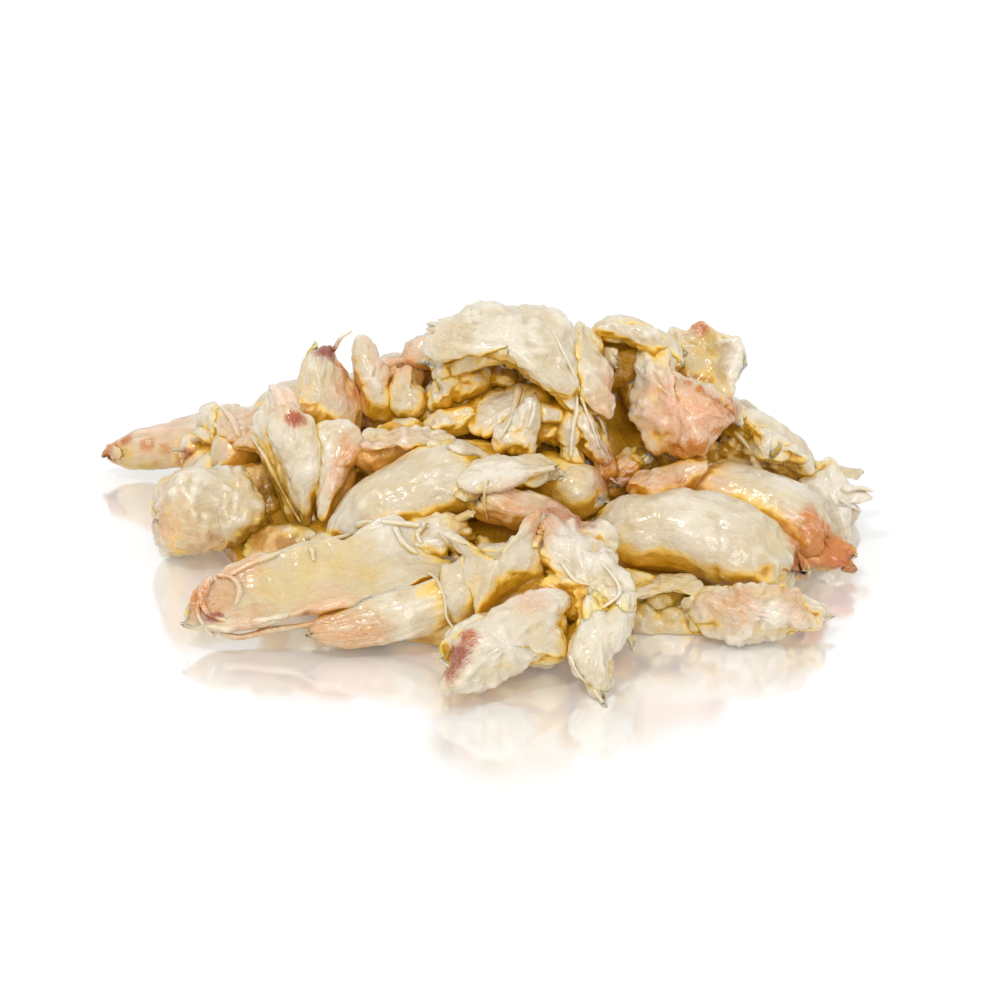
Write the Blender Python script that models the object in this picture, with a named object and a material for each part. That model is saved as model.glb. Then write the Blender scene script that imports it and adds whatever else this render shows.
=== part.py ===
"""A heap of picked blue swimmer crab meat, lying on a flat surface.

The heap is one solid. A low dome is its core, and the lumps, flakes and shreds of meat that
show are fused onto the dome at their true size. Each one is a loft: a bowed spine, a profile
that sets how blunt its two ends are, and a section that may be round, squarish or cupped.

Frame: +Z up, +X to the right of a person standing in front of the heap, +Y away from them.
The origin is on the surface, at the middle of the heap's footprint. The tables are in
millimetres, and the mesh is in metres.
"""

import math
import random

import bmesh
import bpy
import numpy as np

MM = 0.001

# Driving dimensions of the heap, in millimetres.
HEAP_HALF_WIDTH = 77.0
HEAP_HALF_DEPTH = 58.0
HEAP_HEIGHT = 50.0
# The core is a few mounds that run into each other: centre x and y, then half axes.
CORE_MOUNDS = (
    ((0.0, 4.0), (56.0, 38.0, 14.0)),
    ((4.0, 14.0), (50.0, 32.0, 22.0)),
    ((14.0, 18.0), (32.0, 22.0, 32.0)),
)
CORE_BUMPS = 2.0
# What the tables are moved by to put the middle of the footprint at the origin.
SHIFT = (0.0, 1.3, 0.0)

FLESH_COLOUR = (0.85, 0.74, 0.53, 1.0)
FLESH_ROUGHNESS = 0.38

# Fineness of the solids: points round a section and sections along a spine, the length from
# which a piece has one section more, and the width and thickness together under which it
# has fewer of both.
SIDES = 8
RINGS = 6
LONG = 28.0
SMALL = 20.0
# The share of the triangles that is left once slivers along the seams are merged.
KEPT_SHARE = 0.78
LUMP_SIZE = 9.0
LUMP_HEIGHT = 0.9

# What each kind of piece is like. "start" and "end" are its size at the two ends, "blunt" is
# how squarely the ends close (1 is round), "square" below 1 squares the section, and "cup"
# bends the edges out of the heap, or into it where it is negative.
KINDS = {
    "lump": {"start": 0.85, "end": 1.0, "blunt": 2.0, "square": 0.90, "cup": -0.05},
    "finger": {"start": 0.50, "end": 1.0, "blunt": 3.0, "square": 0.90, "cup": 0.0},
    "tail": {"start": 1.0, "end": 0.30, "blunt": 3.0, "square": 0.90, "cup": 0.0},
    "leaf": {"start": 0.85, "end": 0.85, "blunt": 1.8, "square": 0.90, "cup": -0.20},
    "pod": {"start": 0.75, "end": 1.0, "blunt": 2.0, "square": 0.95, "cup": 0.50},
    "block": {"start": 0.95, "end": 0.90, "blunt": 4.5, "square": 0.65, "cup": 0.0},
    "roof": {"start": 0.95, "end": 0.80, "blunt": 3.0, "square": 0.90, "cup": -0.45},
    "wing": {"start": 1.0, "end": 0.75, "blunt": 3.0, "square": 0.95, "cup": 0.10},
    "chunk": {"start": 0.90, "end": 0.80, "blunt": 2.8, "square": 0.80, "cup": 0.0},
    "cone": {"start": 0.30, "end": 1.0, "blunt": 2.4, "square": 0.90, "cup": 0.0},
    "sleeve": {"start": 1.0, "end": 1.0, "blunt": 5.0, "square": 0.90, "cup": -0.25},
}

# The pieces that face the front: kind, spine start, spine end, width, thickness, how far the
# spine bows out of the heap and sideways, and the roll of the section in degrees.
FRONT_PIECES = {
    "back_left_finger": ("finger", (-80, 40, 5), (-44, 33, 10), 15, 13, 2, 0, 0),
    "left_saddle": ("chunk", (-60, 29, 15), (-37, 25, 16), 15, 12, 1, 0, 8),
    "left_front_lump": ("chunk", (-67, 1, 9), (-45, 5, 9), 23, 20, 1, 0, 10),
    "left_fan": ("tail", (-43, 10, 30), (-34, -2, 3), 20, 9, 2, 0, 10),
    "fan_side": ("leaf", (-35, 8, 26), (-29, -4, 7), 11, 8, 1, 0, 0),
    "left_spire": ("cone", (-34, 19, 41), (-32, 13, 12), 21, 11, 1, 0, 0),
    "mid_spire": ("finger", (-26, 22, 41), (-20, 14, 18), 11, 10, 1, 1, 0),
    "knob": ("leaf", (-16, 19, 35), (-18, 13, 22), 8, 8, 0, 0, 0),
    "crown": ("roof", (-15, 11, 39), (16, 6, 37), 21, 9, 7, 0, -8),
    "crown_fall": ("chunk", (3, 9, 44), (21, 0, 33), 15, 9, 1, 0, 0),
    "crown_leaf": ("leaf", (17.5, 13, 46), (22, 0, 28), 10, 9, 2, 0, 0),
    "arch": ("roof", (20, 16, 43), (38, 10, 39), 11, 6, 2, 0, 0),
    "blush_block": ("block", (25, 11, 34), (48, 4, 28), 19, 15, 1, 0, 8),
    "back_cup": ("pod", (36, 24, 34), (51, 20, 34), 16, 6, 0, 0, -75),
    "back_right_band": ("leaf", (46, 12, 25), (66, 14, 13), 11, 8, 2, 0, 0),
    "back_right_lump": ("chunk", (53, 15, 16), (67, 18, 11), 10, 10, 0, 0, 0),
    "far_lobe": ("lump", (38, 1, 18), (67, -9, 6), 15, 13, 3, 0, 0),
    "orange_tip": ("chunk", (58, -6, 5), (73, -9, 5), 10, 8, 0, 0, 0),
    "right_flap": ("wing", (59, 13, 12), (79.5, 11, 9), 13, 4, 0, 1, -70),
    "right_spike": ("tail", (67, 12, 11), (69, 13, 17), 7, 4, 0, 0, 0),
    "right_skirt": ("tail", (70, 10, 9), (71, 2, 1), 9, 6, 0, 0, 0),
    "big_lump": ("lump", (20, -13, 14), (61, -21, 8), 20, 16, 3, 0, 12),
    "tucked_flap": ("leaf", (43, -29, 7), (26, -30, 5), 7, 5, 0, 0, 0),
    "right_front_block": ("chunk", (38, -33, 5), (66, -34, 4), 12, 10, 0, 0, 0),
    "front_block": ("block", (-9, -58, 6), (15, -48, 9), 14, 12, 0, 0, 10),
    "tusk": ("finger", (-35, -43, 4), (12, -37, 16), 14, 12, -2, 0, 10),
    "tusk_sleeve": ("sleeve", (-10, -42, 12), (9, -38, 17), 16, 8, 0, 0, -30),
    "tusk_horn": ("tail", (6, -37, 18), (10, -37, 29), 7, 4, 0, 1, 0),
    "tusk_barb": ("tail", (-5, -38, 16), (-11, -38, 24), 6, 4, 0, -1, 0),
    "pod": ("pod", (-59, -39, 5), (-8, -24, 12), 21, 7, 2, 0, 25),
    "pod_tail": ("chunk", (-18, -18, 13), (-5, -21, 15), 11, 8, 0, 0, 0),
    "shag_top": ("chunk", (10, -27, 17), (25, -31, 16), 15, 12, 1, 0, 0),
    "shag_root": ("chunk", (14, -17, 8), (17, -46, 5), 16, 13, 1, 0, 0),
    "shag_middle": ("chunk", (17, -33, 15), (24, -49, 8), 17, 11, 1, 0, 0),
    "shag_foot": ("tail", (19, -44, 9), (22, -62, 1), 14, 8, 0, 0, 0),
    "mid_lobe": ("lump", (-31, -12, 11), (5, -5, 24), 17, 12, 3, 0, 0),
    "grey_flap": ("wing", (-10, -14, 22), (12.5, -12, 26), 11, 4, 1, 0, -10),
    "orange_wedge": ("tail", (-4, -16, 22), (19, -20, 15), 11, 9, 2, 0, 0),
    "mid_chunk_a": ("leaf", (-13, 2, 27), (3, 5, 31), 11, 10, 1, 0, 0),
    "mid_chunk_b": ("leaf", (2, -3, 23), (11, 6, 35), 10, 9, 1, 0, 0),
    "hanging_leaf": ("leaf", (16, 6, 34), (24, -6, 18), 10, 7, 1, 0, 0),
    "bulb": ("lump", (6, -3, 20), (22, -10, 17), 13, 12, 1, 0, 0),
    "rose_bit": ("chunk", (21, -4, 15), (32, 2, 22), 9, 8, 0, 0, 0),
    "side_wedge": ("leaf", (28, -8, 17), (44, -1, 21), 10, 9, 0, 0, 0),
    "left_mid_chunk": ("chunk", (-27, 2, 20), (-11, 1, 26), 12, 10, 1, 0, 0),
    "saddle_chunk": ("leaf", (-22, 12, 20), (-8, 14, 29), 10, 9, 0, 0, 0),
    "under_crown": ("chunk", (-12, 9, 28), (1, 12, 36), 11, 10, 0, 0, 0),
    "crown_prop": ("chunk", (2, 13, 28), (16, 12, 38), 12, 12, 0, 0, 0),
    "arch_prop": ("chunk", (19, 16, 35), (39, 15, 38), 13, 11, 0, 0, 0),
    "block_prop": ("chunk", (30, 12, 16), (46, 10, 20), 16, 14, 0, 0, 0),
    "white_cube": ("block", (9, -2, 26), (15, 7, 31), 8, 8, 0, 0, 0),
    "low_flake": ("leaf", (27, -30, 3), (44, -33, 2), 11, 6, 0, 0, 0),
    "low_flake_b": ("leaf", (24, -24, 7), (38, -28, 6), 10, 7, 0, 0, 10),
    "front_prop": ("lump", (-20, -33, 5), (10, -40, 6), 16, 11, 0, 0, 0),
}

# The pieces of the back, by a rule: at each height, how far they lie from the middle along X
# and Y, how many there are from the right side round to the left, the first and last turn
# from +X in degrees, and how far they may turn from lying along the ring.
BACK_CENTRE = (2.0, 6.0)
BACK_RINGS = (
    (6.5, (64.0, 45.0), 10, 18.0, 162.0, 50.0),
    (15.0, (53.0, 35.0), 9, 20.0, 160.0, 50.0),
    (25.0, (38.0, 25.0), 7, 30.0, 150.0, 40.0),
    (35.0, (20.0, 15.0), 3, 40.0, 125.0, 15.0),
)
BACK_KINDS = ("lump", "chunk", "leaf", "finger", "block", "lump", "roof", "tail")
BACK_SEED = 14


# ---------------------------------------------------------------- noise


def lattice(cells, seed):
    """One number from -1 to 1 for each whole-number point, the same on every run."""
    x, y, z = (cells[..., i].astype(np.int64) for i in range(3))
    mixed = x * 374761393 + y * 668265263 + z * 2147483647 + seed * 1274126177
    mixed = (mixed ^ (mixed >> 13)) * 1103515245
    mixed = (mixed ^ (mixed >> 16)) & 0xFFFFF
    return mixed / 0x7FFFF - 1.0


def smooth_noise(points, seed):
    """Value noise from -1 to 1, smooth over one unit."""
    base = np.floor(points)
    part = points - base
    part = part * part * (3.0 - 2.0 * part)
    total = np.zeros(points.shape[:-1])
    for corner in np.ndindex(2, 2, 2):
        weight = np.ones(points.shape[:-1])
        for axis, side in enumerate(corner):
            weight = weight * (part[..., axis] if side else 1.0 - part[..., axis])
        total += weight * lattice(base + np.array(corner), seed)
    return total


# ---------------------------------------------------------------- shapes


def unit(vector):
    return vector / np.linalg.norm(vector)


def out_of_heap(place):
    """The way out of the heap at a place, taking the heap for half an ellipsoid."""
    axes = np.array([HEAP_HALF_WIDTH, HEAP_HALF_DEPTH, HEAP_HEIGHT])
    return unit(place / axes**2 + np.array([0.0, 0.0, 0.15 / HEAP_HEIGHT]))


def grid_faces(rings, sides):
    """Faces of a closed loft: quads between the rings, and a fan of triangles at each end."""
    faces = []
    for ring in range(rings - 1):
        for side in range(sides):
            after = (side + 1) % sides
            low = ring * sides
            high = low + sides
            faces.append((low + side, low + after, high + after, high + side))
    first_tip = rings * sides
    last_tip = first_tip + 1
    last_ring = (rings - 1) * sides
    for side in range(sides):
        after = (side + 1) % sides
        faces.append((first_tip, after, side))
        faces.append((last_tip, last_ring + side, last_ring + after))
    return faces


def fineness(length, girth):
    """Sections along a spine and points round a section: fewer for a small piece."""
    rings = RINGS + (1 if length > LONG else 0) - (1 if girth < SMALL else 0)
    return rings, SIDES - (2 if girth < SMALL else 0)


def loft(start, end, width, thick, arch, sweep, roll, kind, seed):
    """Points and faces of one piece, in millimetres."""
    start = np.array(start, float)
    end = np.array(end, float)
    along = unit(end - start)
    outward = out_of_heap((start + end) / 2)
    outward = unit(outward - along * (outward @ along))
    across = np.cross(outward, along)
    turn = math.radians(roll)
    face = outward * math.cos(turn) + across * math.sin(turn)
    side = np.cross(face, along)

    rings, sides = fineness(np.linalg.norm(end - start), width + thick)
    swing = np.pi * (np.arange(rings) + 0.6) / (rings + 0.2)
    step = (1.0 - np.sign(np.cos(swing)) * np.abs(np.cos(swing)) ** (1.0 / kind["blunt"])) / 2.0
    bow = 4.0 * step * (1.0 - step)
    spine = start + np.outer(step, end - start)
    spine = spine + np.outer(bow, face * arch + side * sweep)

    fade = (kind["start"] + (kind["end"] - kind["start"]) * step) * np.sin(swing)

    angle = 2.0 * np.pi * np.arange(sides) / sides
    flat = np.sign(np.cos(angle)) * np.abs(np.cos(angle)) ** kind["square"]
    tall = np.sign(np.sin(angle)) * np.abs(np.sin(angle)) ** kind["square"]
    wide = np.outer(fade * width / 2.0, flat)
    high = np.outer(fade * thick / 2.0, tall)
    high = high + kind["cup"] * np.outer(fade * width / 2.0, flat**2 - 0.5)

    points = spine[:, None, :] + wide[..., None] * side + high[..., None] * face
    radial = flat[:, None] * side + tall[:, None] * face
    lumps = smooth_noise(points / LUMP_SIZE, seed)
    points = points + LUMP_HEIGHT * lumps[..., None] * radial[None]
    points = np.concatenate([points.reshape(-1, 3), [start, end]])
    return points, grid_faces(rings, sides)


def mesh_object(name, points, faces):
    """An object from points in millimetres, with its faces turned outwards."""
    mesh = bpy.data.meshes.new(name)
    mesh.from_pydata((np.array(points) + np.array(SHIFT)) * MM, [], faces)
    work = bmesh.new()
    work.from_mesh(mesh)
    bmesh.ops.recalc_face_normals(work, faces=work.faces)
    work.to_mesh(mesh)
    work.free()
    made = bpy.data.objects.new(name, mesh)
    bpy.context.scene.collection.objects.link(made)
    return made


def mound(name, centre, half_axes, seed):
    """Half an egg with bumps, closed just under the surface that the heap lies on."""
    rings, sides = 5, 18
    rise = np.radians(-12.0 + 96.0 * np.arange(rings) / rings)[:, None]
    turn = (2.0 * np.pi * np.arange(sides) / sides)[None, :]
    ball = np.stack(
        [np.cos(rise) * np.cos(turn), np.cos(rise) * np.sin(turn), np.sin(rise) + 0 * turn],
        axis=-1,
    ).reshape(-1, 3)
    points = ball * np.array(half_axes)
    points += ball * (CORE_BUMPS * smooth_noise(points / 12.0, seed))[:, None]
    tips = np.array([[0, 0, points[:sides, 2].mean()], [0, 0, half_axes[2]]])
    points = np.concatenate([points, tips]) + np.array([*centre, 0.0])
    return mesh_object(name, points, grid_faces(rings, sides))


def core():
    return [
        mound(f"mound_{number}", centre, half_axes, 900 + number)
        for number, (centre, half_axes) in enumerate(CORE_MOUNDS)
    ]


def back_pieces():
    """Rows like those of FRONT_PIECES for the back, the same on every run."""
    draw = random.Random(BACK_SEED)
    rows = {}
    for height, reach, count, first, last, lean_most in BACK_RINGS:
        for number in range(count):
            share = (number + draw.uniform(0.3, 0.7)) / count
            turn = math.radians(first + (last - first) * share)
            middle = np.array(
                [
                    BACK_CENTRE[0] + reach[0] * math.cos(turn),
                    BACK_CENTRE[1] + reach[1] * math.sin(turn),
                    height,
                ]
            )
            lean = turn + math.pi / 2.0 + math.radians(draw.uniform(-lean_most, lean_most))
            pitch = math.radians(draw.uniform(-22.0, 22.0)) * min(1.0, height / 15.0)
            length = draw.uniform(22.0, 36.0)
            half = 0.5 * length * np.array(
                [
                    math.cos(lean) * math.cos(pitch),
                    math.sin(lean) * math.cos(pitch) * 0.8,
                    math.sin(pitch),
                ]
            )
            kind = draw.choice(BACK_KINDS)
            width = draw.uniform(12.0, 18.0)
            thick = width * draw.uniform(0.7, 0.85)
            arch = draw.uniform(0.0, 3.0)
            sweep = draw.uniform(-2.0, 2.0)
            roll = draw.uniform(-20.0, 20.0)
            name = f"back_{int(height)}_{number}"
            rows[name] = (kind, middle - half, middle + half, width, thick, arch, sweep, roll)
    return rows


def pieces():
    made = []
    for seed, (name, row) in enumerate({**FRONT_PIECES, **back_pieces()}.items()):
        kind, start, end, width, thick, arch, sweep, roll = row
        points, faces = loft(
            start, end, width, thick, arch, sweep, roll, KINDS[kind], seed
        )
        made.append(mesh_object(name, points, faces))
    return made


# ---------------------------------------------------------------- one solid


def keep_evaluated(thing):
    """Apply the modifiers of an object."""
    shown = bpy.context.evaluated_depsgraph_get()
    mesh = bpy.data.meshes.new_from_object(thing.evaluated_get(shown))
    thing.modifiers.clear()
    thing.data = mesh


def apply_boolean(target, operation, solver, cutter=None, group=None):
    """Join the target with a collection, or cut it by an object, and keep the result."""
    step = target.modifiers.new(operation, "BOOLEAN")
    step.operation = operation
    step.solver = solver
    if group is not None:
        step.operand_type = "COLLECTION"
        step.collection = group
    else:
        step.object = cutter
    keep_evaluated(target)


def fuse(first, others):
    """One union of the core with every piece."""
    group = bpy.data.collections.new("to_fuse")
    bpy.context.scene.collection.children.link(group)
    for thing in others:
        bpy.context.scene.collection.objects.unlink(thing)
        group.objects.link(thing)
    apply_boolean(first, "UNION", "MANIFOLD", group=group)
    for thing in others:
        bpy.data.objects.remove(thing)
    bpy.data.collections.remove(group)


def cut_level(solid):
    """Take away all that lies under the surface that the heap rests on."""
    mesh = bpy.data.meshes.new("under_surface")
    work = bmesh.new()
    bmesh.ops.create_cube(work, size=1.0)
    for vertex in work.verts:
        vertex.co.x *= 0.3
        vertex.co.y *= 0.3
        vertex.co.z = vertex.co.z * 0.04 - 0.02
    work.to_mesh(mesh)
    work.free()
    slab = bpy.data.objects.new("under_surface", mesh)
    bpy.context.scene.collection.objects.link(slab)
    apply_boolean(solid, "DIFFERENCE", "MANIFOLD", cutter=slab)
    bpy.data.objects.remove(slab)


def keep_one_skin(solid):
    """Fill the hollows that fusing sealed, and drop loose scraps."""
    work = bmesh.new()
    work.from_mesh(solid.data)
    bmesh.ops.triangulate(work, faces=work.faces)
    waiting = set(work.faces)
    skins = []
    while waiting:
        skin = {waiting.pop()}
        edge_of_skin = list(skin)
        while edge_of_skin:
            face = edge_of_skin.pop()
            for edge in face.edges:
                for near in edge.link_faces:
                    if near in waiting:
                        waiting.remove(near)
                        skin.add(near)
                        edge_of_skin.append(near)
        skins.append(skin)
    largest = max(skins, key=len)
    scraps = [face for skin in skins if skin is not largest for face in skin]
    bmesh.ops.delete(work, geom=scraps, context="FACES")
    work.to_mesh(solid.data)
    work.free()


def merge_slivers(solid):
    """Collapse the shortest edges, which lie along the seams between the pieces."""
    step = solid.modifiers.new("slivers", "DECIMATE")
    step.ratio = KEPT_SHARE
    step.use_collapse_triangulate = True
    keep_evaluated(solid)


def flesh():
    material = bpy.data.materials.new("crab_flesh")
    material.use_nodes = True
    shader = material.node_tree.nodes["Principled BSDF"]
    shader.inputs["Base Color"].default_value = FLESH_COLOUR
    shader.inputs["Roughness"].default_value = FLESH_ROUGHNESS
    shader.inputs["Metallic"].default_value = 0.0
    return material


def main():
    for thing in list(bpy.data.objects):
        bpy.data.objects.remove(thing)
    solids = core() + pieces()
    heap = solids[0]
    fuse(heap, solids[1:])
    cut_level(heap)
    keep_one_skin(heap)
    merge_slivers(heap)
    heap.name = "crab_meat"
    heap.data.name = "crab_meat"
    heap.data.materials.clear()
    heap.data.materials.append(flesh())


main()
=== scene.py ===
"""A heap of picked blue swimmer crab meat: lumps, flakes, torn ends and strands of cooked flesh.

Each piece is a loft with its own bends, torn ends, frilled edges and muscle fibres, placed
where the solid has that piece. A few low ones fill the gaps to the core. Tables are in
millimetres. Places that only matter as they are seen from the front are given as seen there:
to the right and up from the middle of the view.
"""

import math
import random

import bpy
import numpy as np
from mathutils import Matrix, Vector
from mathutils.bvhtree import BVHTree


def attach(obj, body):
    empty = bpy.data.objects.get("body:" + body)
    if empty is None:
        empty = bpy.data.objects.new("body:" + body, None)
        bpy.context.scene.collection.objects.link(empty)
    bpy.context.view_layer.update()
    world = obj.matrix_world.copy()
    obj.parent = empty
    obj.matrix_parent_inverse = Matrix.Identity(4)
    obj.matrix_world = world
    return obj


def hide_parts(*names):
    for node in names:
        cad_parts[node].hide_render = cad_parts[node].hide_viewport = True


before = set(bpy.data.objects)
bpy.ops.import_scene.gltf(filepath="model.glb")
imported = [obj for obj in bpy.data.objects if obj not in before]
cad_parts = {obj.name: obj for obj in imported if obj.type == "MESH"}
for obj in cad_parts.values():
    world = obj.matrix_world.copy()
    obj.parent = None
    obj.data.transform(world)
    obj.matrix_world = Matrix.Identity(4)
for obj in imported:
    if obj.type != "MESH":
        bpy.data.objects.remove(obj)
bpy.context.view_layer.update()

MM = 0.001
# From the tables to the frame, and half sizes of the heap, which tell the way out of it.
SHIFT = np.array([0.0, 1.3, 0.0])
HEAP_AXES = np.array([77.0, 58.0, 50.0])
# Centre and half sizes of the mounds inside.
CORE_MOUNDS = (
    ((0.0, 4.0), (56.0, 38.0, 14.0)),
    ((4.0, 14.0), (50.0, 32.0, 22.0)),
    ((14.0, 18.0), (32.0, 22.0, 32.0)),
)

# The camera looks along +Y and down.
VIEW_RISE = math.radians(25.0)
VIEW_TARGET = np.array([2.0, 0.0, 13.2])
VIEW_DISTANCE = 1000.0
RIGHT = np.array([1.0, 0.0, 0.0])

# How fine the grids are, as rings and sides.
LARGE_GRID = (98, 70)
MEDIUM_GRID = (56, 38)
BACK_GRID = (52, 34)
PLATE_GRID = (15, 108)
FLAKE_GRID = (15, 12)
TONGUE_GRID = (13, 10)
CORE_GRID = (40, 96)

# Amounts of the small parts, then how many rays look for the hollows that get painted shade, and how far.
FLAKE_AMOUNT = 0.35
TONGUE_AMOUNT = 0.5
FRINGE_AMOUNT = 1.5
SHADE_RAYS = 9
SHADE_REACH = 12.0

# How far light travels in the flesh, in metres.
THICK_GLOW = 0.0026
THIN_GLOW = 0.0010

# The core takes at least this much painted shade. Flakes and torn ends keep this share of their
# painted shade and are at most this pale. Strands and fibres are at least this pale.
CORE_SHADE = 0.75
SMALL_SHADE = 0.85
SMALL_PALE = 0.5
STRAND_PALE = 0.7
FRINGE_PALE = 0.3
# The fibres take this much painted shade all over.
FRINGE_SHADE = 0.15

# Seeds of the draws, and the first seed of the noise on each batch.
DRAW_SEED = 5
LARGE_SEED = 100
MEDIUM_SEED = 200
BACK_NOISE_SEED = 300
FLAKE_SEED = 1000
TONGUE_SEED = 5000
STRAND_SEED = 9000
FRINGE_SEED = 9500

WORLD_LIGHT = 0.92
FLOOR_SIZE = 8.0
GOLDEN_TURN = 2.39996

# Form: size at the two ends, how bluntly they close, how square the section is, how far its
# edges bend outward. Surface: depth of fibres and of lumps, how torn the two ends are, how
# frilled the edges are, how many flakes lie loosely on it, and how far its bundles stand apart.
KINDS = {
    "lump": (0.85, 1, 2, 0.9, -0.05, 0.1, 0.5, 0.8, 0.8, 0.2, 0.4, 0.14),
    "finger": (0.5, 1, 3, 0.9, 0, 0.14, 0.5, 0.8, 1.2, 0.2, 0.6, 0.22),
    "tail": (1, 0.3, 3, 0.9, 0, 0.18, 0.7, 1.2, 1.4, 0.8, 0.5, 0.4),
    "leaf": (0.85, 0.85, 2.2, 0.9, -0.2, 0.18, 0.7, 1.4, 1.4, 1, 0.6, 0.45),
    "pod": (0.75, 1, 2, 0.95, 0.5, 0.1, 0.4, 0.8, 1.2, 0.9, 0.2, 0.1),
    "block": (0.95, 0.9, 3.6, 0.7, 0, 0.18, 0.9, 1, 1.2, 0.5, 0.4, 0.4),
    "roof": (0.95, 0.8, 3.5, 0.9, -0.45, 0.14, 0.7, 1.2, 1.2, 0.9, 0.4, 0.2),
    "chunk": (0.9, 0.8, 2.7, 0.85, 0, 0.2, 1, 1.3, 1.4, 0.7, 0.8, 0.55),
    "sleeve": (1, 1, 5, 0.9, -0.25, 0.08, 0.35, 1, 1, 0.8, 0.2, 0.1),
    "wing": (1, 0.75, 3, 0.95, 0.1, 0.08, 0.35, 1.6, 1.8, 1.2, 0, 0.08),
    "curd": (0.85, 0.85, 2.8, 0.85, 0, 0.05, 1.1, 0.7, 0.7, 0.4, 0.2, 0.12),
    "tower": (0.65, 1, 3, 0.85, 0, 0.12, 0.6, 0.8, 1.2, 0.4, 0.3, 0.18),
    "sheet": (0.85, 0.85, 3.2, 0.95, -0.15, 0.1, 0.5, 1.2, 1.8, 0.9, 0, 0.12),
}

# Kind, spine start, spine end, width, thickness, bow outward and sideways, roll in degrees.
LARGE = {
    "back_left_finger": ("finger", (-80, 40, 5), (-44, 33, 10), 15, 13, 2, 0, 0),
    "left_front_lump": ("curd", (-67, 0, 8), (-45.5, 4, 9), 21, 19, 1, 0, 10),
    "left_fan": ("tail", (-43, 10, 30), (-34, -2, 3), 20, 9, 2, 0, 10),
    "left_spire": ("tower", (-35.5, 18, 38), (-32, 13, 12), 18, 11, 1, 0, 0),
    "crown": ("roof", (-12, 11, 39), (16, 6, 37), 20, 9, 7, 0, -8),
    "crown_fall": ("chunk", (3, 9, 44), (21, 0, 33), 15, 9, 1, 0, 0),
    "blush_block": ("block", (28, 11, 34), (48, 4, 28), 18, 14, 1, 0, 8),
    "far_lobe": ("lump", (38, 1, 18), (67, -9, 6), 15, 13, 3, 0, 0),
    "big_lump": ("lump", (20, -13, 14), (61, -21, 8), 20, 16, 3, 0, 12),
    "right_front_block": ("chunk", (38, -33, 5), (66, -34, 4), 12, 10, 0, 0, 0),
    "front_block": ("block", (-9, -58, 6), (15, -48, 9), 14, 12, 0, 0, 10),
    "tusk": ("finger", (-35, -43, 4), (12, -37, 16), 14, 12, -2, 0, 10),
    "pod": ("pod", (-59, -39, 5), (-8, -24, 12), 21, 7, 2, 0, 25),
    "mid_lobe": ("lump", (-31, -12, 11), (5, -5, 24), 17, 12, 3, 0, 0),
}
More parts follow.
